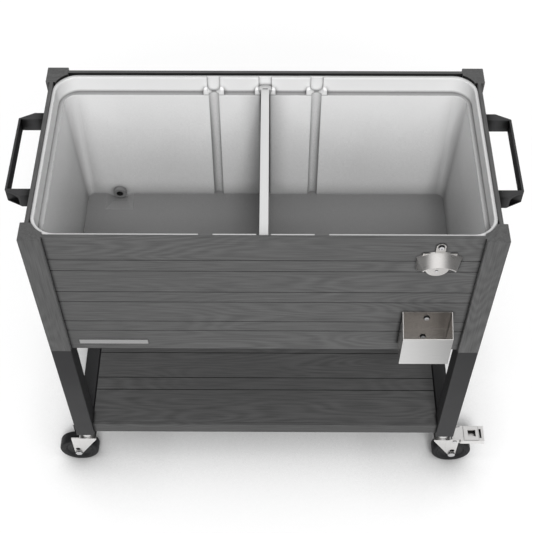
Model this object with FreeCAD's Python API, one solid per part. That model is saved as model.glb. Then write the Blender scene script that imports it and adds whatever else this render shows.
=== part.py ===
"""A wheeled patio cooler: an insulated ice tub in a planked cabinet, on four legs with a shelf and casters.

Millimetres, +Z up. The origin lies on the floor under the middle of the four corner posts.
X runs along the length, Y from the front to the back.
"""
import FreeCAD
import Part
import math
import os

V = FreeCAD.Vector
AXIS_X, AXIS_Y, AXIS_Z = V(1, 0, 0), V(0, 1, 0), V(0, 0, 1)
SIDES = (-1, 1)

# Corner posts and legs
frame_length = 840.0
frame_depth = 424.0
post_side = 40.0
cabinet_height = 354.0
leg_length = 354.0
post_round = 1.5
post_cap = 5.0
leg_wall = 1.6
leg_round = 2.0
leg_plate = 4.0
spigot_radius = 9.0
spigot_length = 60.0
spigot_clearance = 0.1
grub_radius = 2.5
grub_recess = 0.3
grub_gap = 0.05
grub_heights = (15.0, 45.0)

# Planked panels
panel_recess = 7.6
panel_thickness = 6.5
panel_tongue = 6.0
tongue_clearance = 0.15
wide_board = 64.4
wide_board_count = 4
plank_groove_width = 2.4
plank_groove_depth = 1.6

# Ice tub
rim_drop = 5.5
rim_gap = 0.6
rim_band = 6.4
rim_thickness = 3.0
rim_corner = 45.0
tub_wall = 3.0
ledge_drop = 37.0
ledge_width = 9.0
wall_draft = 8.5
lower_corner = 23.0
floor_corner = 15.0
tub_clearance = 0.5

# Divider and the slots that hold it
slot_pitch = 100.0
slot_steps = (-1, 0, 1)
groove_radius = 10.0
groove_set_in = 2.0
pocket_width = 25.0
pocket_depth = 3.4
pocket_skin = 1.5
cheek_width = 7.5
cheek_rise = 14.0
cheek_round = 5.0
divider_thickness = 15.6
divider_drop = 20.5
divider_floor_gap = 0.8
divider_play = 0.3
divider_nose_radius = 15.0
finger_slot_length = 10.0
finger_slot_width = 2.6
finger_slot_depth = 2.5
finger_slot_inset = 12.0

# Insulation and the tray that carries it
tray_sheet = 1.5
tray_flange = 12.0
tray_clearance = 0.2
base_foam = 20.5
foam_clearance = 0.3
foam_end_gap = 1.0

# Drain
drain_end_distance = 107.0
drain_height = 9.0
spout_bore = 6.6
spout_radius = 8.4
spout_reach = 22.0
spout_clearance = 0.2
spout_flange_radius = 13.5
spout_flange = 8.5
sump_depth = 9.0
sump_width = 59.0
sump_reach = 45.0
sump_base_width = 29.0
sump_base_reach = 14.0
seal_radius = 17.0
seal_thickness = 2.0
nut_flats = 30.0
nut_thickness = 7.0
cap_radius = 13.0
cap_depth = 11.0
cap_end = 3.0
cap_clearance = 0.3
cap_lug_count = 6
cap_lug_radius = 2.0
cap_seal = 2.0

# Side handles
handle_length = 203.4
handle_reach = 48.8
handle_height = 30.0
handle_drop = 12.0
handle_arm = 16.2
grip_thickness = 4.0
grip_height = 25.0
handle_corner_run = 28.3
handle_corner_step = 14.1
handle_pocket_width = 12.0
handle_pocket_height = 24.5
handle_pocket_floor = 2.0
handle_pad = 8.0
handle_screw_radius = 2.5
handle_screw_head = 4.2
handle_screw_head_height = 2.6

# Bottle opener on the front panel
opener_end_distance = 114.5
opener_sheet = 2.0
opener_top_drop = 13.0
opener_tab_width = 17.0
opener_plate_width = 60.0
opener_plate_height = 92.0
opener_shoulder_drop = 27.0
opener_lip_radius = 21.0
hood_top_drop = 36.0
hood_arc = (27.0, 7.5)
hood_shoulder = (40.0, 15.5)
hood_foot = (37.0, 53.0)
hood_reach = 21.5
hood_fall = 19.0
hood_lip_arc = (27.5, 8.0)
hood_lip_shoulder = (29.0, 9.0)
hood_lip_foot = (29.0, 12.0)
opener_screw_inset = 9.0
opener_screw_low = 14.0

# Cap catcher on the front panel
catcher_width = 93.8
catcher_reach = 47.6
catcher_back_height = 110.0
catcher_front_height = 85.5
catcher_bottom_rise = 23.5
catcher_sheet = 1.5
catcher_screw_heights = (26.5, 90.5)

# Small dome-headed screws
screw_radius = 2.2
screw_head = 5.8
screw_head_height = 3.6
low_head = 2.8
low_head_height = 0.8
screw_dome_share = 0.55
screw_length = 5.0
screw_clearance = 0.1

# Plain strip on the front panel
badge_length = 133.5
badge_height = 13.5
badge_thickness = 1.0
badge_inset = 60.0
badge_rise = 18.5

# Shelf
shelf_rail_height = 33.0
shelf_rail_rise = 4.4
shelf_rail_thickness = 6.5
shelf_ledge_width = 16.0
shelf_tube_width = 30.0
shelf_ledge_thickness = 3.0
shelf_thickness = 8.0
shelf_clearance = 0.3
shelf_centre_board = 36.4
shelf_wide_board = 65.9
shelf_narrow_board = 31.4
shelf_screw_inset = 9.0
shelf_screw_end_distance = 170.0

# Casters
caster_height = 130.0
wheel_radius = 44.0
wheel_width = 28.0
wheel_round = 5.0
wheel_dish = 4.0
wheel_dish_outer = 33.0
wheel_dish_inner = 13.0
trail = 27.0
axle_radius = 5.0
axle_head_radius = 8.0
axle_head = 4.0
running_clearance = 0.05
fork_side_gap = 2.0
fork_sheet = 2.5
fork_nose = 20.0
fork_tail = 36.0
fork_skirt = 4.0
fork_toe_radius = 9.0
fork_toe_lean = 30.0
fork_hole_radius = 5.5
fork_hole_rise = 15.3
crown_sheet = 3.0
crown_tail = 18.5
race_radius = 17.0
race_height = 16.0
cup_radius = 18.0
cup_height = 3.7
race_gap = 0.3
kingpin_radius = 6.0
rivet_radius = 10.0
rivet_height = 3.0
stud_radius = 5.0
stud_length = 26.0

# Brake pedals on the right-hand casters
pedal_pivot_drop = 27.0
pedal_pin_radius = 2.5
pedal_pin_head_radius = 4.5
pedal_pin_head = 1.5
pedal_boss_radius = 5.0
pedal_sheet = 2.5
pedal_side_gap = 0.6
pedal_lead = 6.0
pedal_pad_start = 13.0
pedal_length = 66.0
pedal_pad_width = 38.0
pedal_skirt = 13.0
pedal_frame_start = 21.0
pedal_frame_end = 53.5
pedal_frame_width = 34.0
pedal_frame_height = 1.5
pedal_window_start = 30.5
pedal_window_length = 17.0
pedal_window_width = 16.0
pedal_slot_start = 55.8
pedal_slot_length = 4.5
pedal_slot_width = 22.5
shoe_start = 9.0
shoe_length = 12.0
shoe_gap = 5.0

# Levels and planes that follow from the sizes above
leg_foot_z = caster_height
cabinet_z = leg_foot_z + leg_length
top_z = cabinet_z + cabinet_height
rim_z = top_z - rim_drop
ledge_z = rim_z - ledge_drop
tub_base_z = cabinet_z + tray_sheet + base_foam
floor_z = tub_base_z + tub_wall
post_x = frame_length / 2 - post_side / 2
post_y = frame_depth / 2 - post_side / 2
post_inner_x = frame_length / 2 - post_side
post_inner_y = frame_depth / 2 - post_side
face_x = frame_length / 2 - panel_recess
face_y = frame_depth / 2 - panel_recess
panel_inner_x = face_x - panel_thickness
panel_inner_y = face_y - panel_thickness
rim_x = panel_inner_x - rim_gap
rim_y = panel_inner_y - rim_gap
upper_x = rim_x - rim_band
upper_y = rim_y - rim_band
upper_corner = rim_corner - rim_band
lower_x = upper_x - ledge_width
lower_y = upper_y - ledge_width
base_x = lower_x - wall_draft
base_y = lower_y - wall_draft
pocket_back_y = upper_y + pocket_depth
pocket_radius = pocket_width / 2
pocket_centre_z = ledge_z + pocket_radius
spout_z = floor_z + drain_height
drain_x = drain_end_distance - frame_length / 2
opener_x = frame_length / 2 - opener_end_distance
catcher_x = opener_x
shelf_screw_spread = frame_length / 2 - shelf_screw_end_distance
handle_top_z = top_z - handle_drop
shelf_top_z = leg_foot_z + shelf_rail_rise + shelf_rail_height
shelf_base_z = leg_foot_z + shelf_rail_rise
fork_inner_y = wheel_width / 2 + fork_side_gap
fork_outer_y = fork_inner_y + fork_sheet
race_base_z = leg_foot_z - race_height
cup_top_z = race_base_z - race_gap
crown_top_z = cup_top_z - cup_height
crown_base_z = crown_top_z - crown_sheet
pedal_z = leg_foot_z - pedal_pivot_drop


def box(x0, x1, y0, y1, z0, z1):
    """A block between two corners given in any order."""
    xs, ys, zs = sorted((x0, x1)), sorted((y0, y1)), sorted((z0, z1))
    return Part.makeBox(xs[1] - xs[0], ys[1] - ys[0], zs[1] - zs[0], V(xs[0], ys[0], zs[0]))


def rod(start, axis, radius, length):
    return Part.makeCylinder(radius, length, start, axis)


def fuse(shapes):
    whole = shapes[0].multiFuse(shapes[1:]) if len(shapes) > 1 else shapes[0]
    return whole.removeSplitter()


def rounded_outline(half_x, half_y, corner, z):
    """A closed rectangle with round corners, level at height z."""
    cx, cy = half_x - corner, half_y - corner
    diag = corner * math.sqrt(0.5)
    edges = []
    for turn in range(4):
        sx, sy = ((1, 1), (-1, 1), (-1, -1), (1, -1))[turn]
        along_x = turn % 2 == 0
        first = V(sx * half_x, sy * cy, z) if along_x else V(sx * cx, sy * half_y, z)
        last = V(sx * cx, sy * half_y, z) if along_x else V(sx * half_x, sy * cy, z)
        middle = V(sx * (cx + diag), sy * (cy + diag), z)
        edges.append((first, middle, last))
    wire = []
    for index, (first, middle, last) in enumerate(edges):
        wire.append(Part.Arc(first, middle, last).toShape())
        wire.append(Part.makeLine(last, edges[(index + 1) % 4][0]))
    return Part.Wire(wire)


def rounded_prism(half_x, half_y, corner, z0, z1):
    face = Part.Face(rounded_outline(half_x, half_y, corner, z0))
    return face.extrude(V(0, 0, z1 - z0))


def rounded_taper(low, high):
    """A drafted block between two level outlines, each (half_x, half_y, corner, z)."""
    return Part.makeLoft([rounded_outline(*low), rounded_outline(*high)], True, True)


def flat_face(points):
    return Part.Face(Part.makePolygon(points + points[:1]))


def screw(seat, axis, radius, length, head_radius, head_height):
    """A dome-headed screw: its head stands on the seat along the axis, its shank goes the other way."""
    shank = rod(seat, axis * -1, radius, length)
    rim = rod(seat, axis, head_radius, head_height / 2)
    dome_foot = seat + axis * (head_height / 2)
    dome = Part.makeCone(head_radius, head_radius * screw_dome_share, head_height / 2, dome_foot, axis)
    return fuse([shank, rim, dome])


def turned_round(shape):
    """A copy turned half round the vertical axis."""
    copy = shape.copy()
    copy.rotate(V(0, 0, 0), AXIS_Z, 180)
    return copy


def save(name, shape):
    shape.exportStep(os.path.join("parts", name + ".step"))


def lower_wall_y(z):
    """Half the inside depth of the lower tub at height z."""
    return base_y + wall_draft * (z - floor_z) / (ledge_z - floor_z)


def slanted_rod(x, side, radius, z0, z1):
    """A rod that follows the drafted wall at a divider slot, cut level at z0 and z1."""
    low_z, high_z = z0 - 2 * radius, z1 + 2 * radius
    low = V(x, side * (lower_wall_y(low_z) - groove_set_in), low_z)
    high = V(x, side * (lower_wall_y(high_z) - groove_set_in), high_z)
    whole = rod(low, high - low, radius, (high - low).Length)
    reach = 2 * radius
    return whole.common(box(x - reach, x + reach, 0, side * frame_depth, z0, z1))


def slot_places():
    return [step * slot_pitch for step in slot_steps]


def board_lines():
    """Heights of the lines between a panel's boards, counted up from its foot."""
    narrow_count = wide_board_count - 1
    narrow = (cabinet_height - wide_board_count * wide_board) / narrow_count
    lines, height = [], 0.0
    for index in range(narrow_count):
        height += wide_board
        lines.append(height)
        height += narrow
        lines.append(height)
    return lines


def plank_cutter(face, height, length):
    """A V groove along X, centred, in a face that looks towards -Y at depth face."""
    half = plank_groove_width / 2
    points = [V(-length / 2, face - plank_groove_depth, height - 2 * half),
              V(-length / 2, face + plank_groove_depth, height),
              V(-length / 2, face - plank_groove_depth, height + 2 * half)]
    return flat_face(points).extrude(V(length, 0, 0))


def post(sx, sy):
    """A corner post: solid board stock with a leg bore, panel grooves and a round inner corner for the tub."""
    x0, y0 = post_x - post_side / 2, post_y - post_side / 2
    blank = box(x0, x0 + post_side, y0, y0 + post_side, cabinet_z, top_z)
    upright = [e for e in blank.Edges if abs(e.BoundBox.ZLength - cabinet_height) < 1e-6]
    blank = blank.makeFillet(post_round, upright)
    tub_corner = upper_corner + tub_wall + tub_clearance
    cuts = [rounded_prism(upper_x + tub_wall + tub_clearance, upper_y + tub_wall + tub_clearance,
                          tub_corner, cabinet_z - 1, top_z + 1)]
    cuts.append(rounded_prism(rim_x + tub_clearance, rim_y + tub_clearance, rim_corner + tub_clearance,
                              rim_z - rim_thickness - tub_clearance, top_z + 1))
    groove_depth = panel_tongue + tongue_clearance
    groove_top = top_z - post_cap + tongue_clearance
    cuts.append(box(x0 - 1, x0 + groove_depth, panel_inner_y - tongue_clearance, face_y + tongue_clearance,
                    cabinet_z - 1, groove_top))
    cuts.append(box(panel_inner_x - tongue_clearance, face_x + tongue_clearance, y0 - 1, y0 + groove_depth,
                    cabinet_z - 1, groove_top))
    cuts.append(rod(V(post_x, post_y, cabinet_z - 1), AXIS_Z, spigot_radius + spigot_clearance,
                    spigot_length + 1 + spigot_clearance))
    for height in grub_heights:
        start, way, length = grub_line(height)
        cuts.append(rod(start - way * post_side / 2, way, grub_radius + grub_gap, post_side / 2 + length))
    whole = blank.cut(fuse(cuts))
    return place_in_corner(whole, sx, sy)


def grub_line(height):
    """Start, direction and length of a grub screw that goes from the tub's corner to the leg's spigot."""
    radius = upper_corner + tub_wall + tub_clearance
    centre = V(upper_x + tub_wall + tub_clearance - radius, upper_y + tub_wall + tub_clearance - radius, 0)
    axis_point = V(post_x, post_y, 0)
    way = axis_point - centre
    reach = way.Length
    way.normalize()
    start = centre + way * (radius + grub_recess) + V(0, 0, cabinet_z + height)
    return start, way, reach - radius - grub_recess - spigot_radius - grub_gap


def grub_screws():
    screws = []
    for height in grub_heights:
        start, way, length = grub_line(height)
        one = rod(start, way, grub_radius, length)
        screws += [place_in_corner(one, sx, sy) for sx in SIDES for sy in SIDES]
    return Part.makeCompound(screws)


def place_in_corner(shape, sx, sy):
    """Mirrors a piece made for the corner at +X +Y to another corner."""
    if sx < 0:
        shape = shape.mirror(V(0, 0, 0), AXIS_X)
    if sy < 0:
        shape = shape.mirror(V(0, 0, 0), AXIS_Y)
    return shape


def leg(sx, sy):
    """A square steel tube with a closed head and foot; its spigot goes up into the post."""
    half = post_side / 2
    tube = box(post_x - half, post_x + half, post_y - half, post_y + half, leg_foot_z, cabinet_z)
    upright = [e for e in tube.Edges if abs(e.BoundBox.ZLength - leg_length) < 1e-6]
    tube = tube.makeFillet(leg_round, upright)
    inner = half - leg_wall
    hollow = box(post_x - inner, post_x + inner, post_y - inner, post_y + inner,
                 leg_foot_z + leg_plate, cabinet_z - leg_plate)
    stud_hole = rod(V(post_x, post_y, leg_foot_z - 1), AXIS_Z, stud_radius + running_clearance, leg_plate + 2)
    spigot = rod(V(post_x, post_y, cabinet_z - leg_plate), AXIS_Z, spigot_radius, leg_plate + spigot_length)
    whole = fuse([tube.cut(hollow), spigot]).cut(stud_hole)
    return place_in_corner(whole, sx, sy)


def long_panel(holes):
    """The front panel: planked outside, with a tongue at each end that the posts hold."""
    half = post_inner_x + panel_tongue
    board = box(-half, half, -face_y, -panel_inner_y, cabinet_z, top_z)
    cuts = [box(side * post_inner_x, side * (half + 1), -face_y - 1, -panel_inner_y + 1,
                top_z - post_cap, top_z + 1) for side in SIDES]
    cuts += [plank_cutter(-face_y, cabinet_z + line, 2 * half + 2) for line in board_lines()]
    return board.cut(fuse(cuts + holes))


def side_panel(sx):
    """An end panel, planked on the face that looks outwards."""
    half = post_inner_y + panel_tongue
    board = box(-half, half, -face_x, -panel_inner_x, cabinet_z, top_z)
    cuts = [box(side * post_inner_y, side * (half + 1), -face_x - 1, -panel_inner_x + 1,
                top_z - post_cap, top_z + 1) for side in SIDES]
    cuts += [plank_cutter(-face_x, cabinet_z + line, 2 * half + 2) for line in board_lines()]
    panel = board.cut(fuse(cuts))
    panel.rotate(V(0, 0, 0), AXIS_Z, sx * 90)
    holes = [rod(V(sx * (face_x + 1), seat.y, seat.z), AXIS_X * -sx, handle_screw_radius + screw_clearance,
                 panel_thickness + 2) for seat in handle_seats()]
    return panel.cut(fuse(holes))


def tray():
    """The sheet-metal tray that closes the cabinet's foot and carries the insulation."""
    tx, ty = panel_inner_x - tray_clearance, panel_inner_y - tray_clearance
    nx, ny = post_inner_x - tray_clearance, post_inner_y - tray_clearance
    base = fuse([box(-tx, tx, -ny, ny, cabinet_z, cabinet_z + tray_sheet),
                 box(-nx, nx, -ty, ty, cabinet_z, cabinet_z + tray_sheet)])
    top = cabinet_z + tray_sheet + tray_flange
    flanges = []
    for side in SIDES:
        flanges.append(box(-nx, nx, side * ty, side * (ty - tray_sheet), cabinet_z, top))
        flanges.append(box(side * tx, side * (tx - tray_sheet), -ny, ny, cabinet_z, top))
    return fuse([base] + flanges)


def foam_limits():
    """Outer planes of the side boards, their foot and their top."""
    back = tray_clearance + tray_sheet + foam_clearance
    return panel_inner_x - back, panel_inner_y - back, tub_base_z, ledge_z - tub_wall - foam_clearance


def foam_wedge(half_length, outer, inner_low, inner_high, z0, z1):
    """A board on the front side whose inner face leans with the tub's wall."""
    points = [V(-half_length, -outer, z0), V(-half_length, -inner_low, z0),
              V(-half_length, -inner_high, z1), V(-half_length, -outer, z1)]
    return flat_face(points).extrude(V(2 * half_length, 0, 0))


def foam_long():
    """The front insulation board, with channels for the divider slots' ribs."""
    _, outer, z0, z1 = foam_limits()
    skin = tub_wall + foam_clearance
    board = foam_wedge(post_inner_x - foam_end_gap, outer, lower_wall_y(z0) + skin,
                       lower_wall_y(z1) + skin, z0, z1)
    channels = [slanted_rod(x, -1, groove_radius + skin, z0 - 1, z1 + 1) for x in slot_places()]
    return board.cut(fuse(channels))


def foam_end(sx):
    outer, _, z0, z1 = foam_limits()
    skin = tub_wall + foam_clearance
    spread = lower_x - lower_y
    board = foam_wedge(post_inner_y - foam_end_gap, outer, lower_wall_y(z0) + spread + skin,
                       lower_wall_y(z1) + spread + skin, z0, z1)
    board.rotate(V(0, 0, 0), AXIS_Z, sx * 90)
    return board


def foam_base():
    nx, ny = post_inner_x - foam_end_gap, post_inner_y - foam_end_gap
    ox, oy, _, _ = foam_limits()
    z0 = cabinet_z + tray_sheet
    board = fuse([box(-ox, ox, -ny, ny, z0, tub_base_z), box(-nx, nx, -oy, oy, z0, tub_base_z)])
    return board.cut(sump(tub_wall + foam_clearance))


def sump(skin):
    """The dip in the tub's floor that leads to the drain, grown by a skin."""
    wires = []
    for z, width, reach in ((floor_z, sump_width, sump_reach),
                            (floor_z - sump_depth - skin, sump_base_width, sump_base_reach)):
        x0, x1 = drain_x - width / 2 - skin, drain_x + width / 2 + skin
        y0, y1 = base_y - reach - skin, base_y + skin
        wires.append(Part.makePolygon([V(x0, y0, z), V(x1, y0, z), V(x1, y1, z), V(x0, y1, z), V(x0, y0, z)]))
    return Part.makeLoft(wires, True, True)


def cheek_block(x, side):
    """The raised block round a divider slot, with round shoulders, between the ledge and the upper wall."""
    half, z0, z1, r = pocket_radius + cheek_width, ledge_z - tub_wall / 2, ledge_z + cheek_rise, cheek_round
    y = side * lower_y
    dip = r * (1 - math.sqrt(0.5))
    edges = [Part.makeLine(V(x - half, y, z0), V(x - half, y, z1 - r)),
             Part.Arc(V(x - half, y, z1 - r), V(x - half + dip, y, z1 - dip), V(x - half + r, y, z1)).toShape(),
             Part.makeLine(V(x - half + r, y, z1), V(x + half - r, y, z1)),
             Part.Arc(V(x + half - r, y, z1), V(x + half - dip, y, z1 - dip), V(x + half, y, z1 - r)).toShape(),
             Part.makeLine(V(x + half, y, z1 - r), V(x + half, y, z0)),
             Part.makeLine(V(x + half, y, z0), V(x - half, y, z0))]
    return Part.Face(Part.Wire(edges)).extrude(V(0, side * (ledge_width + tub_wall / 2), 0))


def pocket_cutter(x, side):
    """The U-shaped seat for a divider's round head."""
    start = V(x, side * (lower_y - pocket_radius), pocket_centre_z)
    depth = pocket_back_y - lower_y + pocket_radius
    seat = rod(start, AXIS_Y * side, pocket_radius, depth)
    mouth = box(x - pocket_radius, x + pocket_radius, start.y, side * pocket_back_y, pocket_centre_z, rim_z + 1)
    return fuse([seat, mouth])


def tub():
    """The moulded ice tub: a stepped, drafted bin with a rim, divider slots and a dip at the drain."""
    shell = [rounded_prism(upper_x + tub_wall, upper_y + tub_wall, upper_corner + tub_wall,
                           ledge_z - tub_wall, rim_z),
             rounded_prism(rim_x, rim_y, rim_corner, rim_z - rim_thickness, rim_z),
             rounded_taper((base_x + tub_wall, base_y + tub_wall, floor_corner + tub_wall, tub_base_z),
                           (lower_x + tub_wall, lower_y + tub_wall, lower_corner + tub_wall, ledge_z)),
             sump(tub_wall)]
    for x in slot_places():
        for side in SIDES:
            shell.append(slanted_rod(x, side, groove_radius + tub_wall, tub_base_z, ledge_z))
            half = pocket_radius + tub_wall
            shell.append(box(x - half, x + half, side * upper_y, side * (pocket_back_y + pocket_skin),
                             ledge_z - tub_wall, rim_z - rim_thickness))
    hollow = fuse([rounded_prism(upper_x, upper_y, upper_corner, ledge_z, rim_z + 1),
                   rounded_taper((base_x, base_y, floor_corner, floor_z),
                                 (lower_x, lower_y, lower_corner, ledge_z)), sump(0)])
    bin_shell = fuse(shell).cut(hollow)
    inside = [cheek_block(x, side) for x in slot_places() for side in SIDES]
    cuts = [rod(V(drain_x, base_y - tub_wall, spout_z), AXIS_Y, spout_radius + spout_clearance, frame_depth)]
    for x in slot_places():
        for side in SIDES:
            cuts.append(slanted_rod(x, side, groove_radius, floor_z, pocket_centre_z))
            cuts.append(pocket_cutter(x, side))
    return fuse([bin_shell] + inside).cut(fuse(cuts))


def divider():
    """The lift-out divider: a board with round edges, hung by a head at each end of its top.

    A head is round below, like the pocket that it sits in, level with the board above, and has an arched nose.
    """
    z0, z1 = floor_z + divider_floor_gap, rim_z - divider_drop
    half = divider_thickness / 2
    ya, yb = lower_wall_y(z0) - groove_set_in, lower_wall_y(z1) - groove_set_in
    board = flat_face([V(-half, -ya, z0), V(-half, ya, z0), V(-half, yb, z1), V(-half, -yb, z1)])
    pieces = [board.extrude(V(divider_thickness, 0, 0))]
    cuts = []
    for side in SIDES:
        pieces.append(slanted_rod(0, side, half, z0, z1))
        start_y, end_y = lower_y - groove_set_in, pocket_back_y - divider_play
        head = rod(V(0, side * start_y, pocket_centre_z), AXIS_Y * side,
                   pocket_radius - divider_play, end_y - start_y)
        nose = rod(V(0, side * (end_y - divider_nose_radius), z0), AXIS_Z, divider_nose_radius, z1 - z0)
        pieces.append(head.common(nose))
        slot_y = side * (end_y - finger_slot_inset)
        cuts.append(box(-finger_slot_length / 2, finger_slot_length / 2, slot_y - finger_slot_width / 2,
                        slot_y + finger_slot_width / 2, z1 - finger_slot_depth, z1 + 1))
    return fuse(pieces).cut(fuse(cuts))


def drain_pieces():
    """The drain's spout, its seal, its nut, the screw cap and the cap's seal, all along one axis."""
    x, z = drain_x, spout_z
    flange_y = base_y - spout_clearance - spout_flange
    end_y = face_y + seal_thickness + nut_thickness + spout_reach
    spout = fuse([rod(V(x, flange_y, z), AXIS_Y, spout_flange_radius, spout_flange),
                  rod(V(x, flange_y, z), AXIS_Y, spout_radius, end_y - flange_y)])
    spout = spout.cut(rod(V(x, flange_y - 1, z), AXIS_Y, spout_bore, end_y - flange_y + 2))
    opening = rod(V(x, face_y - 1, z), AXIS_Y, spout_radius + running_clearance, spout_reach)
    seal = rod(V(x, face_y, z), AXIS_Y, seal_radius, seal_thickness).cut(opening)
    nut_y = face_y + seal_thickness
    corner = nut_flats / math.sqrt(3)
    sixth = math.pi / 3
    outline = [V(x + corner * math.cos(sixth * k), nut_y, z + corner * math.sin(sixth * k)) for k in range(6)]
    nut = flat_face(outline).extrude(V(0, nut_thickness, 0)).cut(opening)
    seal_y = end_y + cap_clearance
    cap_y = seal_y + cap_seal - cap_depth
    cap_end_y = seal_y + cap_seal + cap_clearance
    cup = rod(V(x, cap_y, z), AXIS_Y, cap_radius, cap_end_y + cap_end - cap_y)
    lugs = [rod(V(x + cap_radius * math.cos(2 * math.pi * k / cap_lug_count), cap_y,
                  z + cap_radius * math.sin(2 * math.pi * k / cap_lug_count)), AXIS_Y,
                cap_lug_radius, cap_end_y + cap_end - cap_y) for k in range(cap_lug_count)]
    bore = rod(V(x, cap_y - 1, z), AXIS_Y, spout_radius + cap_clearance, cap_end_y - cap_y + 1)
    cap = fuse([cup] + lugs).cut(bore)
    cap_washer = rod(V(x, seal_y, z), AXIS_Y, spout_radius, cap_seal)
    return {"drain_spout": spout, "drain_seal": seal, "drain_nut": nut,
            "drain_cap": cap, "cap_seal": cap_washer}


def handle_seats():
    """Where the handle screws' heads bear, on the right-hand handle."""
    y = handle_length / 2 - handle_arm / 2
    z = handle_top_z - handle_height + handle_pocket_height / 2
    return [V(face_x + handle_pad, side * y, z) for side in SIDES]


def handle():
    """The right-hand handle: two arms and a grip in one moulding.

    Its outer corners are cut off, and an arched pocket in each cut face leads to the arm's screw.
    """
    half, out = handle_length / 2, face_x + handle_reach
    z0 = handle_top_z - handle_height
    run, step = handle_corner_run, handle_corner_step
    outline = [V(face_x, -half, z0), V(out - run, -half, z0), V(out, -half + step, z0),
               V(out, half - step, z0), V(out - run, half, z0), V(face_x, half, z0)]
    inner_half = half - handle_arm
    grip_x = out - grip_thickness
    body = flat_face(outline).extrude(V(0, 0, handle_height))
    cuts = [box(face_x - 1, grip_x, -inner_half, inner_half, z0 - 1, handle_top_z + 1),
            box(grip_x - 1, out + 1, -inner_half, inner_half, z0 - 1, handle_top_z - grip_height)]
    arch = handle_pocket_width / 2
    arch_z = z0 + handle_pocket_height - arch
    for seat in handle_seats():
        cuts.append(box(seat.x, out + 1, seat.y - arch, seat.y + arch, z0 + handle_pocket_floor, arch_z))
        cuts.append(rod(V(seat.x, seat.y, arch_z), AXIS_X, arch, handle_reach))
        cuts.append(rod(V(face_x - 1, seat.y, seat.z), AXIS_X, handle_screw_radius + screw_clearance,
                        handle_reach))
    return body.cut(fuse(cuts))


def handle_screws():
    length = handle_pad + panel_thickness - screw_clearance
    right = [screw(seat, AXIS_X, handle_screw_radius, length, handle_screw_head, handle_screw_head_height)
             for seat in handle_seats()]
    return Part.makeCompound(right + [turned_round(one) for one in right])


def hood_wire(y, crown, arc, shoulder, foot):
    """The hood's closed strip outline in the plane at y, one sheet thick.

    It goes over an arc, a shoulder and an upright side each way. The arc's end, the shoulder and the foot
    are each given as (half width, drop below the crown).
    """
    t = opener_sheet
    inner_arc = (arc[0] - t / 2, arc[1] + t)
    inner_shoulder = (shoulder[0] - t, shoulder[1] + t / 2)
    inner_foot = (foot[0] - t, foot[1])

    def at(spot, side):
        return V(opener_x + side * spot[0], y, crown - spot[1])

    right = [at(spot, 1) for spot in (arc, shoulder, foot, inner_foot, inner_shoulder, inner_arc)]
    left = [at(spot, -1) for spot in (inner_arc, inner_shoulder, inner_foot, foot, shoulder, arc)]
    edges = [Part.Arc(left[-1], V(opener_x, y, crown), right[0]).toShape()]
    edges += [Part.makeLine(a, b) for a, b in zip(right, right[1:])]
    edges.append(Part.Arc(right[-1], V(opener_x, y, crown - t), left[0]).toShape())
    edges += [Part.makeLine(a, b) for a, b in zip(left, left[1:])]
    return Part.Wire(edges)


def opener_top_z():
    return top_z - opener_top_drop


def opener_screw_heights():
    low = opener_top_z() - opener_plate_height
    return opener_top_z() - opener_screw_inset, low + opener_screw_low


def opener():
    """The pressed bottle opener: a wall plate with a tab and a round lip, and a hood that leans out over it."""
    x0, top, t = opener_x, opener_top_z(), opener_sheet
    y0, y1 = -face_y, -face_y - t
    tab, half = opener_tab_width / 2, opener_plate_width / 2
    shoulder = top - opener_shoulder_drop
    low = top - opener_plate_height + opener_lip_radius
    plate = [box(x0 - tab, x0 + tab, y0, y1, low, top - tab),
             rod(V(x0, y1, top - tab), AXIS_Y, tab, t),
             box(x0 - half, x0 + half, y0, y1, low, shoulder),
             rod(V(x0, y1, low), AXIS_Y, opener_lip_radius, t)]
    crown = top_z - hood_top_drop
    hood = Part.makeLoft([hood_wire(y0, crown, hood_arc, hood_shoulder, hood_foot),
                          hood_wire(y0 - hood_reach, crown - hood_fall, hood_lip_arc, hood_lip_shoulder,
                                    hood_lip_foot)], True, True)
    holes = [rod(V(x0, y0 + 1, z), AXIS_Y * -1, screw_radius + screw_clearance, t + 2)
             for z in opener_screw_heights()]
    return fuse(plate + [hood]).cut(fuse(holes))


def front_screw(x, z, stand, head, head_height):
    """A dome-headed screw into the front panel, seated at a distance from its face."""
    seat = V(x, -face_y - stand, z)
    return screw(seat, AXIS_Y * -1, screw_radius, screw_length + stand, head, head_height)


def opener_screws():
    """The dome-headed screw in the opener's tab, and the low-headed one in its round lip."""
    high, low = opener_screw_heights()
    return Part.makeCompound([front_screw(opener_x, high, opener_sheet, screw_head, screw_head_height),
                              front_screw(opener_x, low, opener_sheet, low_head, low_head_height)])


def catcher_screws():
    return Part.makeCompound([front_screw(catcher_x, z, catcher_sheet, screw_head, screw_head_height)
                              for z in catcher_screw_levels()])


def catcher_screw_levels():
    return [catcher_base_z() + height for height in catcher_screw_heights]


def catcher_base_z():
    return cabinet_z + catcher_bottom_rise


def catcher():
    """The folded bin that catches bottle caps: a tall back, a lower front and sloping sides, open on top."""
    half, t = catcher_width / 2, catcher_sheet
    z0 = catcher_base_z()
    back, front = -face_y, -face_y - catcher_reach
    x0 = catcher_x - half
    outline = [V(x0, back, z0), V(x0, back, z0 + catcher_back_height),
               V(x0, back - t, z0 + catcher_back_height), V(x0, front, z0 + catcher_front_height),
               V(x0, front, z0)]
    body = flat_face(outline).extrude(V(catcher_width, 0, 0))
    hollow = box(x0 + t, x0 + catcher_width - t, back - t, front + t, z0 + t, z0 + catcher_back_height + 1)
    holes = [rod(V(catcher_x, back + 1, z), AXIS_Y * -1, screw_radius + screw_clearance, t + 2)
             for z in catcher_screw_levels()]
    return body.cut(fuse([hollow] + holes))


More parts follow.
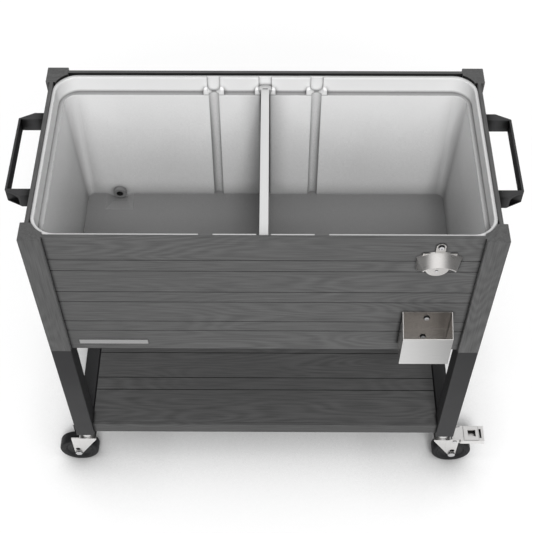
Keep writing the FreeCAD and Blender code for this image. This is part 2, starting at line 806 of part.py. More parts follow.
def badge():
    x0 = -frame_length / 2 + badge_inset
    z0 = cabinet_z + badge_rise
    plate = box(x0, x0 + badge_length, -face_y, -face_y - badge_thickness, z0, z0 + badge_height)
    corners = [e for e in plate.Edges if abs(e.BoundBox.YLength - badge_thickness) < 1e-6]
    return plate.makeFillet(badge_thickness, corners)


def shelf_rail(side):
    """A long shelf rail: an upright face, and a ledge inside with holes for the shelf screws."""
    half, outer, z1 = post_inner_x, face_y, shelf_top_z - shelf_thickness
    face = box(-half, half, -outer, -outer + shelf_rail_thickness, shelf_base_z, shelf_top_z)
    ledge = box(-half, half, -outer, -outer + shelf_rail_thickness + shelf_ledge_width,
                z1 - shelf_ledge_thickness, z1)
    rail = fuse([face, ledge])
    if side > 0:
        rail = turned_round(rail)
    holes = [rod(V(p.x, p.y, p.z - 1), AXIS_Z, screw_radius + screw_clearance, shelf_ledge_thickness + 2)
             for p in shelf_seats()]
    return rail.cut(fuse(holes))


def shelf_tube(sx):
    """The tube that joins two legs at an end of the shelf, with a ledge inside that the shelf lies on."""
    x0, x1, half = face_x - shelf_tube_width, face_x, post_inner_y
    tube = box(x0, x1, -half, half, shelf_base_z, shelf_top_z)
    long_edges = [e for e in tube.Edges if abs(e.BoundBox.YLength - 2 * half) < 1e-6]
    tube = tube.makeFillet(leg_round, long_edges)
    hollow = box(x0 + leg_wall, x1 - leg_wall, -half - 1, half + 1,
                 shelf_base_z + leg_wall, shelf_top_z - leg_wall)
    z1 = shelf_top_z - shelf_thickness
    ledge = box(post_inner_x - shelf_ledge_width, x0 + leg_wall, -half, half, z1 - shelf_ledge_thickness, z1)
    whole = fuse([tube.cut(hollow), ledge])
    return whole if sx > 0 else turned_round(whole)


def shelf_lines():
    """Distances of the lines between the shelf's boards from its middle."""
    first = shelf_centre_board / 2
    second = first + shelf_wide_board
    return first, second, second + shelf_narrow_board


def shelf():
    """The planked shelf, between the legs and the long rails."""
    sx, sy = post_inner_x - shelf_clearance, face_y - shelf_rail_thickness - shelf_clearance
    z0 = shelf_top_z - shelf_thickness
    board = box(-sx, sx, -sy, sy, z0, shelf_top_z)
    cuts = []
    for line in shelf_lines():
        for side in SIDES:
            y, w, d = side * line, plank_groove_width / 2, plank_groove_depth
            points = [V(-sx - 1, y - 2 * w, shelf_top_z + d), V(-sx - 1, y, shelf_top_z - d),
                      V(-sx - 1, y + 2 * w, shelf_top_z + d)]
            cuts.append(flat_face(points).extrude(V(2 * sx + 2, 0, 0)))
    cuts += [rod(V(p.x, p.y, z0 - 1), AXIS_Z, screw_radius + screw_clearance, screw_length + 1)
             for p in shelf_seats()]
    return board.cut(fuse(cuts))


def shelf_seats():
    """Where the shelf screws' heads bear, under the long rails' ledges."""
    y = face_y - shelf_rail_thickness - shelf_screw_inset
    z = shelf_top_z - shelf_thickness - shelf_ledge_thickness
    return [V(step * shelf_screw_spread, side * y, z) for step in slot_steps for side in SIDES]


def shelf_screws():
    length = shelf_ledge_thickness + screw_length - screw_clearance
    return Part.makeCompound([screw(seat, AXIS_Z * -1, screw_radius, length, screw_head, screw_head_height)
                              for seat in shelf_seats()])


def caster_stem():
    """The fixed half of a caster's swivel: a stud for the leg, an upper race and a riveted kingpin."""
    return fuse([rod(V(0, 0, leg_foot_z), AXIS_Z, stud_radius, stud_length),
                 rod(V(0, 0, race_base_z), AXIS_Z, race_radius, race_height),
                 rod(V(0, 0, crown_base_z - race_gap), AXIS_Z, kingpin_radius, leg_foot_z - crown_base_z),
                 rod(V(0, 0, crown_base_z - race_gap - rivet_height), AXIS_Z, rivet_radius, rivet_height)])


def fork_cheek(y0, y1):
    """One side of the fork: a plate that narrows from the crown to a round toe at the axle."""
    toe, centre = fork_toe_radius, V(trail, y0, wheel_radius)
    skirt_z = crown_top_z - fork_skirt
    lean = math.radians(fork_toe_lean)
    left = V(trail - toe * math.cos(lean), y0, wheel_radius - toe * math.sin(lean))
    right = V(trail + toe, y0, wheel_radius)
    edges = [Part.makeLine(V(-fork_nose, y0, crown_top_z), V(-fork_nose, y0, skirt_z)),
             Part.makeLine(V(-fork_nose, y0, skirt_z), left),
             Part.Arc(left, centre + V(0, 0, -toe), right).toShape(),
             Part.makeLine(right, V(fork_tail, y0, skirt_z)),
             Part.makeLine(V(fork_tail, y0, skirt_z), V(fork_tail, y0, crown_top_z)),
             Part.makeLine(V(fork_tail, y0, crown_top_z), V(-fork_nose, y0, crown_top_z))]
    return Part.Face(Part.Wire(edges)).extrude(V(0, y1 - y0, 0))


def caster_fork(braked):
    """The swivelling fork: a crown with the lower race and two cheeks that carry the axle."""
    pieces = [box(-fork_nose, crown_tail, -fork_outer_y, fork_outer_y, crown_base_z, crown_top_z),
              rod(V(0, 0, crown_base_z), AXIS_Z, cup_radius, cup_top_z - crown_base_z)]
    pieces += [fork_cheek(side * fork_inner_y, side * fork_outer_y) for side in SIDES]
    through = 2 * fork_outer_y + 2
    cuts = [rod(V(0, 0, crown_base_z - 1), AXIS_Z, kingpin_radius + running_clearance, crown_top_z),
            rod(V(trail, -through / 2, wheel_radius), AXIS_Y, axle_radius + running_clearance, through),
            rod(V(trail, -through / 2, wheel_radius + fork_hole_rise), AXIS_Y, fork_hole_radius, through)]
    if braked:
        cuts.append(rod(V(trail, -through / 2, pedal_z), AXIS_Y, pedal_pin_radius + running_clearance, through))
    return fuse(pieces).cut(fuse(cuts))


def caster_wheel():
    """A solid wheel with round tread edges and a dished web on each side."""
    half = wheel_width / 2
    blank = rod(V(trail, -half, wheel_radius), AXIS_Y, wheel_radius, wheel_width)
    rims = [e for e in blank.Edges if e.Closed]
    blank = blank.makeFillet(wheel_round, rims)
    cuts = [rod(V(trail, -half - 1, wheel_radius), AXIS_Y, axle_radius + running_clearance, wheel_width + 2)]
    for side in SIDES:
        start = V(trail, side * (half - wheel_dish), wheel_radius)
        ring = rod(start, AXIS_Y * side, wheel_dish_outer, wheel_dish + 1)
        cuts.append(ring.cut(rod(start, AXIS_Y * side, wheel_dish_inner, wheel_dish + 1)))
    return blank.cut(fuse(cuts))


def caster_axle():
    """The axle bolt with its round head, and the nut on its other end."""
    head = rod(V(trail, -fork_outer_y, wheel_radius), AXIS_Y * -1, axle_head_radius, axle_head)
    shank = rod(V(trail, -fork_outer_y, wheel_radius), AXIS_Y, axle_radius, 2 * fork_outer_y + axle_head)
    corner = axle_head_radius
    sixth = math.pi / 3
    outline = [V(trail + corner * math.cos(sixth * k), fork_outer_y,
                 wheel_radius + corner * math.sin(sixth * k)) for k in range(6)]
    nut = flat_face(outline).extrude(V(0, axle_head, 0))
    nut = nut.cut(rod(V(trail, fork_outer_y - 1, wheel_radius), AXIS_Y,
                      axle_radius + running_clearance, axle_head + 2))
    return Part.makeCompound([fuse([head, shank]), nut])


def brake_pin():
    head = rod(V(trail, -fork_outer_y, pedal_z), AXIS_Y * -1, pedal_pin_head_radius, pedal_pin_head)
    shank = rod(V(trail, -fork_outer_y, pedal_z), AXIS_Y, pedal_pin_radius, 2 * fork_outer_y + pedal_pin_head)
    return fuse([head, shank])


def brake_pedal():
    """The pressed brake pedal: an arm on the pin, a foot pad with a window, and a shoe above the tread."""
    arm_half = fork_inner_y - pedal_side_gap
    pad_half = pedal_pad_width / 2
    z0, z1 = pedal_z + pedal_boss_radius - pedal_sheet, pedal_z + pedal_boss_radius
    start, pad, end = trail - pedal_lead, trail + pedal_pad_start, trail + pedal_length
    skirt_z = z1 - pedal_skirt
    pieces = [box(start, end, -arm_half, arm_half, z0, z1),
              box(pad, end, -pad_half, pad_half, z0, z1),
              box(end - pedal_sheet, end, -pad_half, pad_half, skirt_z, z1),
              box(trail + pedal_frame_start, trail + pedal_frame_end, -pedal_frame_width / 2,
                  pedal_frame_width / 2, z1 - pedal_sheet, z1 + pedal_frame_height),
              box(trail + pedal_frame_start, end, -pad_half, pad_half, skirt_z, skirt_z + pedal_sheet),
              rod(V(trail, -arm_half, pedal_z), AXIS_Y, pedal_boss_radius, 2 * arm_half)]
    for side in SIDES:
        pieces.append(box(pad, end, side * pad_half, side * (pad_half - pedal_sheet), skirt_z, z1))
    shoe = box(trail + shoe_start, trail + shoe_start + shoe_length, -arm_half, arm_half, wheel_radius, z1)
    tread = rod(V(trail, -arm_half - 1, wheel_radius), AXIS_Y, wheel_radius + shoe_gap, 2 * arm_half + 2)
    pieces.append(shoe.cut(tread))
    window = box(trail + pedal_window_start, trail + pedal_window_start + pedal_window_length,
                 -pedal_window_width / 2, pedal_window_width / 2, z0 - 1, z1 + pedal_frame_height + 1)
    slot = box(trail + pedal_slot_start, trail + pedal_slot_start + pedal_slot_length,
               -pedal_slot_width / 2, pedal_slot_width / 2, z0 - 1, z1 + 1)
    bore = rod(V(trail, -arm_half - 1, pedal_z), AXIS_Y, pedal_pin_radius + running_clearance, 2 * arm_half + 2)
    return fuse(pieces).cut(fuse([window, slot, bore]))


def at_leg(shape, sx, sy):
    """Turns a caster piece to trail outwards and sets it under a leg."""
    placed = shape.copy() if sx > 0 else turned_round(shape)
    placed.translate(V(sx * post_x, sy * post_y, 0))
    return placed


def front_panel_holes():
    places = [(opener_x, z) for z in opener_screw_heights()]
    places += [(catcher_x, z) for z in catcher_screw_levels()]
    depth = screw_length + 1 + screw_clearance
    return [rod(V(x, -face_y - 1, z), AXIS_Y, screw_radius + screw_clearance, depth) for x, z in places]


def rear_panel_hole():
    """The drain's way through, in a panel that is still facing the front."""
    return [rod(V(-drain_x, -face_y - 1, spout_z), AXIS_Y, spout_radius + spout_clearance,
                panel_thickness + 2)]


def foam_rear():
    board = turned_round(foam_long())
    return board.cut(rod(V(drain_x, 0, spout_z), AXIS_Y, spout_radius + spout_clearance, frame_depth))


def build():
    os.makedirs("parts", exist_ok=True)
    corner_names = {(-1, -1): "front_left", (1, -1): "front_right",
                    (-1, 1): "rear_left", (1, 1): "rear_right"}
    for (sx, sy), corner in corner_names.items():
        save("post_" + corner, post(sx, sy))
        save("leg_" + corner, leg(sx, sy))
        save("caster_stem_" + corner, at_leg(caster_stem(), sx, sy))
        save("caster_fork_" + corner, at_leg(caster_fork(sx > 0), sx, sy))
        save("caster_wheel_" + corner, at_leg(caster_wheel(), sx, sy))
        save("caster_axle_" + corner, at_leg(caster_axle(), sx, sy))
        if sx > 0:
            save("brake_pedal_" + corner, at_leg(brake_pedal(), sx, sy))
            save("brake_pin_" + corner, at_leg(brake_pin(), sx, sy))
    save("leg_grub_screws", grub_screws())
    save("panel_front", long_panel(front_panel_holes()))
    save("panel_rear", turned_round(long_panel(rear_panel_hole())))
    save("foam_front", foam_long())
    save("foam_rear", foam_rear())
    for sx, side in ((-1, "left"), (1, "right")):
        save("panel_" + side, side_panel(sx))
        save("foam_" + side, foam_end(sx))
        save("handle_" + side, handle() if sx > 0 else turned_round(handle()))
        save("shelf_tube_" + side, shelf_tube(sx))
    save("foam_base", foam_base())
    save("bottom_tray", tray())
    save("ice_tub", tub())
    save("divider", divider())
    for name, shape in drain_pieces().items():
        save(name, shape)
    save("handle_screws", handle_screws())
    save("bottle_opener", opener())
    save("opener_screws", opener_screws())
    save("cap_catcher", catcher())
    save("catcher_screws", catcher_screws())
    save("front_strip", badge())
    save("shelf", shelf())
    save("shelf_rail_front", shelf_rail(-1))
    save("shelf_rail_rear", shelf_rail(1))
    save("shelf_screws", shelf_screws())


build()
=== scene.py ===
# %% [markdown]
# A patio cooler, dressed for a studio picture. The solids of the cooler come from a CAD model that is already
# built, so every piece is in its true place and size. This lesson only adds what CAD leaves out: finishes, soft
# edges, small hardware, a camera and light.

# %% Load the CAD frame
import bmesh
import bpy
import math
from mathutils import Matrix, Vector


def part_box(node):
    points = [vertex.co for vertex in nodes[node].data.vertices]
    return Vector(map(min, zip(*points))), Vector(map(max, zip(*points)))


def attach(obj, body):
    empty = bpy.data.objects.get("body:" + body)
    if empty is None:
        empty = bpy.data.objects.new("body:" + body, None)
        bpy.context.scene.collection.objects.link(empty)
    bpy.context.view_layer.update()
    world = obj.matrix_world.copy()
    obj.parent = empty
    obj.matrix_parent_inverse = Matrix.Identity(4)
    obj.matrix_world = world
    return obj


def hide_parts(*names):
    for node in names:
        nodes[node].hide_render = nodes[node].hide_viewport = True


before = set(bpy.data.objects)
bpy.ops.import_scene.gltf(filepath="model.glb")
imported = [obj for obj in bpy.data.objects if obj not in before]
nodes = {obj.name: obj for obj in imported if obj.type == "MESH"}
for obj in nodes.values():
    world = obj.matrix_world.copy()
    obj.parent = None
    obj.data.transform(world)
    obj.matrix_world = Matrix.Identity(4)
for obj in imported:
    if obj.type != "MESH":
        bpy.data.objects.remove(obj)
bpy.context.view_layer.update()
bpy.ops.object.select_all(action="DESELECT")

# %% [markdown]
# The camera stands in front of the cooler and looks steeply down into the tub. Its place and angles were solved
# from the corners of the posts, so the picture can be laid over the photograph. A tracking constraint could aim
# it too, but a matrix built from three plain turns is easier to follow. It is read from right to left: roll the
# lens by a hair, tilt it up from straight down, and turn it a little to the side.

# %% Camera
EYE = Vector((0.0151, -1.3202, 2.2697))
LOOK_DOWN = math.radians(53.593)
TURN_LEFT = math.radians(0.5246)
ROLL = math.radians(-0.2133)
FOCAL_PIXELS, FRAME_PIXELS = 1066.7, 533
SENSOR_MM, SIGHT_END = 36.0, 100.0

camera_data = bpy.data.cameras.new("studio_camera")
camera_data.sensor_width = SENSOR_MM
camera_data.lens = SENSOR_MM * FOCAL_PIXELS / FRAME_PIXELS
camera_data.clip_end = SIGHT_END
camera = bpy.data.objects.new("studio_camera", camera_data)
camera.matrix_world = (Matrix.Translation(EYE) @ Matrix.Rotation(TURN_LEFT, 4, "Z")
                       @ Matrix.Rotation(math.pi / 2 - LOOK_DOWN, 4, "X") @ Matrix.Rotation(ROLL, 4, "Z"))
bpy.context.scene.collection.objects.link(camera)
bpy.context.scene.camera = camera
print("lens:", round(camera_data.lens, 2), "mm")

# %% [markdown]
# Every finish below is a little network of shader nodes. A few helpers keep those networks short to read: they
# feed a socket from another node or with a plain value, add a node, do sums, make noise, spread a range and mix
# colours. The Mix node repeats its sockets' names for each kind of data, so those of colours go by number. The
# networks could be drawn in the Shader Editor as well, but a script builds them the same way each time.

# %% Helpers for shader nodes
MIX_FACTOR, MIX_FIRST, MIX_SECOND, MIX_RESULT = 0, 6, 7, 2


def feed(tree, socket, value):
    if isinstance(value, bpy.types.NodeSocket):
        tree.links.new(value, socket)
    else:
        socket.default_value = value


def place(tree, kind, values=None, **settings):
    node = tree.nodes.new(kind)
    for key, value in settings.items():
        setattr(node, key, value)
    for key, value in (values or {}).items():
        feed(tree, node.inputs[key], value)
    return node


def sums(tree, operation, first, second=0.0):
    return place(tree, "ShaderNodeMath", {0: first, 1: second}, operation=operation).outputs[0]


def weighted(tree, *parts):
    """A sum of values, each taken at its own share."""
    shares = [sums(tree, "MULTIPLY", value, share) for value, share in parts]
    total = shares[0]
    for share in shares[1:]:
        total = sums(tree, "ADD", total, share)
    return total


def axes(tree, vector):
    """The three parts of a place or a direction."""
    return place(tree, "ShaderNodeSeparateXYZ", {0: vector}).outputs


def stretched(tree, vector, scales):
    """The place on the surface, stretched by its own factor along each axis."""
    return place(tree, "ShaderNodeVectorMath", {0: vector, 1: scales}, operation="MULTIPLY").outputs[0]


def length(tree, vector):
    return place(tree, "ShaderNodeVectorMath", {0: vector}, operation="LENGTH").outputs["Value"]


def noise(tree, vector, detail, roughness=0.5):
    values = {"Vector": vector, "Scale": 1.0, "Detail": detail, "Roughness": roughness}
    return place(tree, "ShaderNodeTexNoise", values, noise_dimensions="3D").outputs[0]


def between(tree, value, low, high, new_low=0.0, new_high=1.0):
    """Spreads the stretch from low to high over a new range, and holds it at the ends."""
    values = {0: value, 1: low, 2: high, 3: new_low, 4: new_high}
    return place(tree, "ShaderNodeMapRange", values, clamp=True).outputs[0]


def mixed(tree, factor, first, second):
    values = {MIX_FACTOR: factor, MIX_FIRST: first, MIX_SECOND: second}
    return place(tree, "ShaderNodeMix", values, data_type="RGBA").outputs[MIX_RESULT]


print("shader helpers ready")

# %% [markdown]
# An effect that several finishes share is a node group, which is built once and placed in each of them. A group
# has named sockets for what comes in and what goes out. Each socket carries a number or a direction here. Its
# nodes could be copied into each material too, but then a change has to be made many times.

# %% Helpers for node groups
NUMBER, DIRECTION = "NodeSocketFloat", "NodeSocketVector"


def start_group(name, inputs, outputs):
    """An empty node group with named sockets."""
    group = bpy.data.node_groups.new(name, "ShaderNodeTree")
    for label, kind in inputs.items():
        group.interface.new_socket(label, in_out="INPUT", socket_type=kind)
    for label, kind in outputs.items():
        group.interface.new_socket(label, in_out="OUTPUT", socket_type=kind)
    return group, group.nodes.new("NodeGroupInput").outputs, group.nodes.new("NodeGroupOutput").inputs


def use_group(tree, group, **values):
    return place(tree, "ShaderNodeGroup", values, node_tree=group).outputs


print("group helpers ready")

# %% [markdown]
# The boards of the cabinet are not wood: they are moulded or coated boards with a faint wood grain pressed into
# them. A growth-ring figure looks like the contour lines of a hilly map that is stretched along the board, so
# the group takes a stretched noise, lifts it to many rings and reads the ripples. Finer and longer noises give
# the fibres. The rings are strong in some patches and faint in others, as where a saw has cut through a knot.
# It could be painted as a picture, but a picture has to be unwrapped and shows its pixels up close. A group
# lets every board use one pattern, turned its own way.

# %% Node group: pressed wood grain, running along the first axis of its vector
RING_STRETCH, RING_COUNT, RING_DETAIL, RING_ROUGHNESS = (1.8, 12.0, 12.0), 29.0, 1.5, 0.4
FIBRE_STRETCH, FIBRE_DETAIL, FIBRE_ROUGHNESS = (14.0, 420.0, 420.0), 2.0, 0.55
PORE_STRETCH, PATCH_STRETCH, PLAIN_DETAIL = (40.0, 1500.0, 1500.0), (2.2, 7.0, 7.0), 1.0
FIGURE_STARTS, FIGURE_ENDS, FIGURE_FAINT, FIGURE_STRONG = 0.42, 0.6, 0.15, 0.5
RING_MIDDLE, RING_SHARE, FIBRE_SHARE, PORE_SHARE, PATCH_SHARE = 0.5, 0.15, 0.52, 0.17, 0.16

grain_group, came, left = start_group("pressed_grain", {"Vector": DIRECTION},
                                      {"Tone": NUMBER, "Height": NUMBER})
tree, vector = grain_group, came["Vector"]
hills = noise(tree, stretched(tree, vector, RING_STRETCH), RING_DETAIL, RING_ROUGHNESS)
ripple = sums(tree, "SINE", sums(tree, "MULTIPLY", hills, RING_COUNT * 2 * math.pi))
fibres = noise(tree, stretched(tree, vector, FIBRE_STRETCH), FIBRE_DETAIL, FIBRE_ROUGHNESS)
pores = noise(tree, stretched(tree, vector, PORE_STRETCH), PLAIN_DETAIL)
patches = noise(tree, stretched(tree, vector, PATCH_STRETCH), PLAIN_DETAIL)
figure = between(tree, patches, FIGURE_STARTS, FIGURE_ENDS, FIGURE_FAINT, FIGURE_STRONG)
rings = sums(tree, "ADD", RING_MIDDLE, sums(tree, "MULTIPLY", ripple, figure))
relief = weighted(tree, (rings, RING_SHARE), (fibres, FIBRE_SHARE), (pores, PORE_SHARE))
feed(tree, left["Tone"], sums(tree, "ADD", relief, sums(tree, "MULTIPLY", patches, PATCH_SHARE)))
feed(tree, left["Height"], relief)
print("group:", grain_group.name)

# %% [markdown]
# Shade gathers where surfaces meet: in the lines between planks, round a screw, in the corners of a tub. The
# materials paint it into their colours as painted shade. An Ambient Occlusion node measures how closed in a spot
# is, within a distance that each material chooses. The first result is a mask, 1 in a narrow corner and 0 on an
# open face. The second is the plain measure, for broad painted shade such as that at the foot of a deep tub.
# Shade could be painted by hand, but a measured mask finds every corner on its own.

# %% Node group: crevices
SHADE_STARTS, SHADE_FULL, SHADE_SAMPLES = 0.95, 0.25, 8

crevice_group, came, left = start_group("crevices", {"Distance": NUMBER}, {"Shade": NUMBER, "Open": NUMBER})
closed_in = place(crevice_group, "ShaderNodeAmbientOcclusion", {"Distance": came["Distance"]},
                  samples=SHADE_SAMPLES).outputs["AO"]
feed(crevice_group, left["Shade"], between(crevice_group, closed_in, SHADE_STARTS, SHADE_FULL))
feed(crevice_group, left["Open"], closed_in)
print("group:", crevice_group.name)

# %% [markdown]
# Real edges are never knife sharp. A Bevel node bends the shading near an edge as if the edge were rounded, so
# each piece can have its own softness and the CAD mesh stays as it is. The same node tells where an edge is
# near, because there the bent direction leaves the true one: that is the mask for rubbed edges. A Bevel
# modifier could cut the edges round, but it needs a joined mesh, and a CAD mesh is loose triangles.

# %% Node group: soft edges
EDGE_STARTS, EDGE_FULL, EDGE_SAMPLES = 0.99, 0.75, 6

edge_group, came, left = start_group("soft_edges", {"Radius": NUMBER}, {"Normal": DIRECTION, "Edge": NUMBER})
bent = place(edge_group, "ShaderNodeBevel", {"Radius": came["Radius"]}, samples=EDGE_SAMPLES).outputs[0]
true = place(edge_group, "ShaderNodeNewGeometry").outputs["Normal"]
likeness = place(edge_group, "ShaderNodeVectorMath", {0: bent, 1: true}, operation="DOT_PRODUCT")
feed(edge_group, left["Normal"], bent)
feed(edge_group, left["Edge"], between(edge_group, likeness.outputs["Value"], EDGE_STARTS, EDGE_FULL))
print("group:", edge_group.name)

# %% [markdown]
# Powder coat and moulded plastic share a fine, even skin like orange peel. Hands and weather leave broad, faint
# clouds in the gloss as well. One group gives both, at a size that each material chooses. Modelling the skin
# would take millions of faces, so it is a bump in the shading.

# %% Node group: fine skin
SKIN_DETAIL, CLOUD_DETAIL, SKIN_ROUGHNESS = 2.0, 4.0, 0.6
CLOUD_STRETCH = (6.0, 6.0, 6.0)

skin_group, came, left = start_group("fine_skin", {"Vector": DIRECTION, "Fineness": NUMBER},
                                     {"Height": NUMBER, "Clouds": NUMBER})
tree, vector = skin_group, came["Vector"]
spot = place(tree, "ShaderNodeVectorMath", {0: vector, "Scale": came["Fineness"]}, operation="SCALE").outputs[0]
clouds = noise(tree, stretched(tree, vector, CLOUD_STRETCH), CLOUD_DETAIL, SKIN_ROUGHNESS)
feed(tree, left["Height"], noise(tree, spot, SKIN_DETAIL, SKIN_ROUGHNESS))
feed(tree, left["Clouds"], clouds)
print("group:", skin_group.name)

# %% [markdown]
# A thin black line runs along the back of the tub: there the eye looks into the gap between the rim and the
# rear boards, where no light comes in. The sides of the boards that look along the depth towards the tub are
# therefore painted almost black, as painted shade. Such a face has a direction that points back to the middle:
# direction times place is negative. The steps of the posts look the same way, but they lie outside the boards
# and stay grey. At the two ends the light reaches the gap, so the sides that look along the length have a mask
# of their own, and there the boards are painted a lighter grey as painted light. A second material could do the
# same, but those faces would have to be picked on every board.

# %% Node group: sides that look into the gap
BOARD_FACE = 0.4055
INWARD_STARTS, INWARD_FULL = -0.02, -0.06
ENDWARD_STARTS, ENDWARD_FULL = -0.34, -0.39

inner_group, came, left = start_group("inner_side", {"Vector": DIRECTION}, {"Inner": NUMBER, "End": NUMBER})
tree = inner_group
facing = axes(tree, place(tree, "ShaderNodeNewGeometry").outputs["True Normal"])
where = axes(tree, came["Vector"])
inward = between(tree, sums(tree, "MULTIPLY", facing["Y"], where["Y"]), INWARD_STARTS, INWARD_FULL)
near = sums(tree, "LESS_THAN", sums(tree, "ABSOLUTE", where["X"]), BOARD_FACE)
endward = between(tree, sums(tree, "MULTIPLY", facing["X"], where["X"]), ENDWARD_STARTS, ENDWARD_FULL)
# Inner marks the sides painted almost black as painted shade, End the sides painted lighter as painted light.
feed(tree, left["Inner"], sums(tree, "MULTIPLY", inward, near))
feed(tree, left["End"], endward)
print("group:", inner_group.name)

# %% [markdown]
# Brushed sheet steel has hair-fine scratches in one direction. Noise that is stretched hundreds of times along
# the brushing direction looks just like them. The scratches change the gloss and the direction of the surface a
# little, and the metal itself stays one colour. An anisotropic shader could smear the reflections that way too,
# but it shows no single hairs.

# %% Node group: brushing along the first axis of its vector
HAIR_STRETCH, HAIR_DETAIL, HAIR_ROUGHNESS, HAIR_SHARE = (9.0, 2600.0, 2600.0), 3.0, 0.7, 0.6
BROAD_STRETCH, BROAD_DETAIL, BROAD_SHARE = (4.0, 160.0, 160.0), 2.0, 0.4

brush_group, came, left = start_group("brushing", {"Vector": DIRECTION}, {"Height": NUMBER, "Streaks": NUMBER})
tree, vector = brush_group, came["Vector"]
hairs = noise(tree, stretched(tree, vector, HAIR_STRETCH), HAIR_DETAIL, HAIR_ROUGHNESS)
broad = noise(tree, stretched(tree, vector, BROAD_STRETCH), BROAD_DETAIL)
feed(tree, left["Height"], hairs)
feed(tree, left["Streaks"], weighted(tree, (hairs, HAIR_SHARE), (broad, BROAD_SHARE)))
print("group:", brush_group.name)

# %% [markdown]
# A material starts with a Principled shader, the place on the surface, and soft edges. One function makes that
# start, a second one joins a height to the shader as a bump on top of the soft edges, and a third one paints
# shade into a colour in crevices, as painted shade. The CAD objects sit at the origin, so Object coordinates are
# metres in the cooler's own frame. Every material could start from nothing, but the same lines would then stand
# in each of them.

# %% Starting a material, changing it and giving it to nodes
def start_material(name, radius, **values):
    material = bpy.data.materials.new(name)
    material.use_nodes = True
    tree = material.node_tree
    tree.nodes.clear()
    shader = place(tree, "ShaderNodeBsdfPrincipled")
    for key, value in values.items():
        shader.inputs[key.replace("_", " ")].default_value = value
    output = place(tree, "ShaderNodeOutputMaterial")
    tree.links.new(shader.outputs[0], output.inputs["Surface"])
    spot = place(tree, "ShaderNodeTexCoord").outputs["Object"]
    edges = use_group(tree, edge_group, Radius=radius)
    tree.links.new(edges["Normal"], shader.inputs["Normal"])
    return material, tree, shader.inputs, spot, edges


def bump(tree, inputs, edges, height, depth, strength=1.0):
    values = {"Strength": strength, "Distance": depth, "Height": height, "Normal": edges["Normal"]}
    feed(tree, inputs["Normal"], place(tree, "ShaderNodeBump", values).outputs[0])


def colour_so_far(inputs):
    """What feeds the base colour up to now, to be changed further."""
    return inputs["Base Color"].links[0].from_socket


def shaded(tree, inputs, colour, shade_colour, distance, strength):
    """Darkens a base colour in crevices, as painted shade."""
    mask = sums(tree, "MULTIPLY", use_group(tree, crevice_group, Distance=distance)["Shade"], strength)
    feed(tree, inputs["Base Color"], mixed(tree, mask, colour, shade_colour))


def grey(level):
    return (level, level, level, 1.0)


def scaled(colour, factor):
    return tuple(factor * part for part in colour[:3]) + (1.0,)


def give(material, *starts):
    """Gives a material to every CAD node whose name starts with one of the words."""
    chosen = [name for name in nodes if name.startswith(starts)]
    for name in chosen:
        nodes[name].data.materials.clear()
        nodes[name].data.materials.append(material)
    print(material.name, "on", len(chosen), "nodes")


print("material helpers ready")

# %% [markdown]
# The grained boards. The same charcoal boards are used lying and standing, so one function makes the material
# and a Mapping node turns the grain: along the length, across the ends, or up the posts. The grooves between
# the planks are cut in the CAD model, and the crevice mask darkens them with painted shade. The shelf and its
# rails take the colours a little darker, as painted shade under the cabinet. A material could be written out
# for each board as well, but they would soon differ by accident.

# %% Materials: grained boards
TO_LENGTH, TO_DEPTH, TO_HEIGHT = (0.0, 0.0, 0.0), (0.0, 0.0, math.pi / 2), (0.0, math.pi / 2, 0.0)
BOARD_DARK, BOARD_LIGHT, TONE_LOW, TONE_HIGH, SHELF_SHARE = 0.064, 0.116, 0.3, 0.7, 0.78
BOARD_RUBBED, RUBBED_SHARE, BOARD_END, BOARD_SHADE = 0.13, 0.3, 0.18, 0.008
PLANK_REACH, PLANK_SHARE, BOARD_SOFTNESS, BOARD_SHINE = 0.0075, 1.6, 0.0004, 0.25
RELIEF_LOW, RELIEF_HIGH, VALLEY_ROUGH, CREST_ROUGH = 0.2, 0.7, 0.7, 0.55
GRAIN_DEPTH, GRAIN_STRENGTH = 0.0004, 0.5


def grained(name, turn, shift=(0.0, 0.0, 0.0), share=1.0):
    material, tree, inputs, spot, edges = start_material(name, BOARD_SOFTNESS, Specular_IOR_Level=BOARD_SHINE)
    turned = place(tree, "ShaderNodeMapping", {"Vector": spot, "Rotation": turn, "Location": shift}).outputs[0]
    grain = use_group(tree, grain_group, Vector=turned)
    shade = use_group(tree, crevice_group, Distance=PLANK_REACH)["Shade"]
    sides = use_group(tree, inner_group, Vector=spot)
    tone = between(tree, grain["Tone"], TONE_LOW, TONE_HIGH)
    colour = mixed(tree, tone, grey(BOARD_DARK * share), grey(BOARD_LIGHT * share))
    rubbed = sums(tree, "MULTIPLY", edges["Edge"], RUBBED_SHARE)
    colour = mixed(tree, rubbed, colour, grey(BOARD_RUBBED * share))
    # Painted shade: the sides that face into the gap and the plank grooves turn near black.
    painted_shade = sums(tree, "MAXIMUM", sides["Inner"], sums(tree, "MULTIPLY", shade, PLANK_SHARE))
    colour = mixed(tree, painted_shade, colour, grey(BOARD_SHADE))
    # Painted light: the sides that look along the length are lighter.
    feed(tree, inputs["Base Color"], mixed(tree, sides["End"], colour, grey(BOARD_END)))
    rough = between(tree, grain["Height"], RELIEF_LOW, RELIEF_HIGH, VALLEY_ROUGH, CREST_ROUGH)
    feed(tree, inputs["Roughness"], rough)
    bump(tree, inputs, edges, grain["Height"], GRAIN_DEPTH, GRAIN_STRENGTH)
    return material


give(grained("board_along", TO_LENGTH), "panel_front", "panel_rear")
give(grained("board_across", TO_DEPTH, (3.1, 0.0, 0.0)), "panel_left", "panel_right")
give(grained("board_upright", TO_HEIGHT, (1.7, 0.4, 0.0)), "post_")
# The shelf and its rails are taken darker, as painted shade under the cabinet.
give(grained("shelf_board", TO_LENGTH, (0.0, 0.9, 0.3), SHELF_SHARE), "shelf")
rail_board = grained("shelf_rail_along", TO_LENGTH, (0.6, 0.2, 0.0), SHELF_SHARE)
give(rail_board, "shelf_rail_front", "shelf_rail_rear")
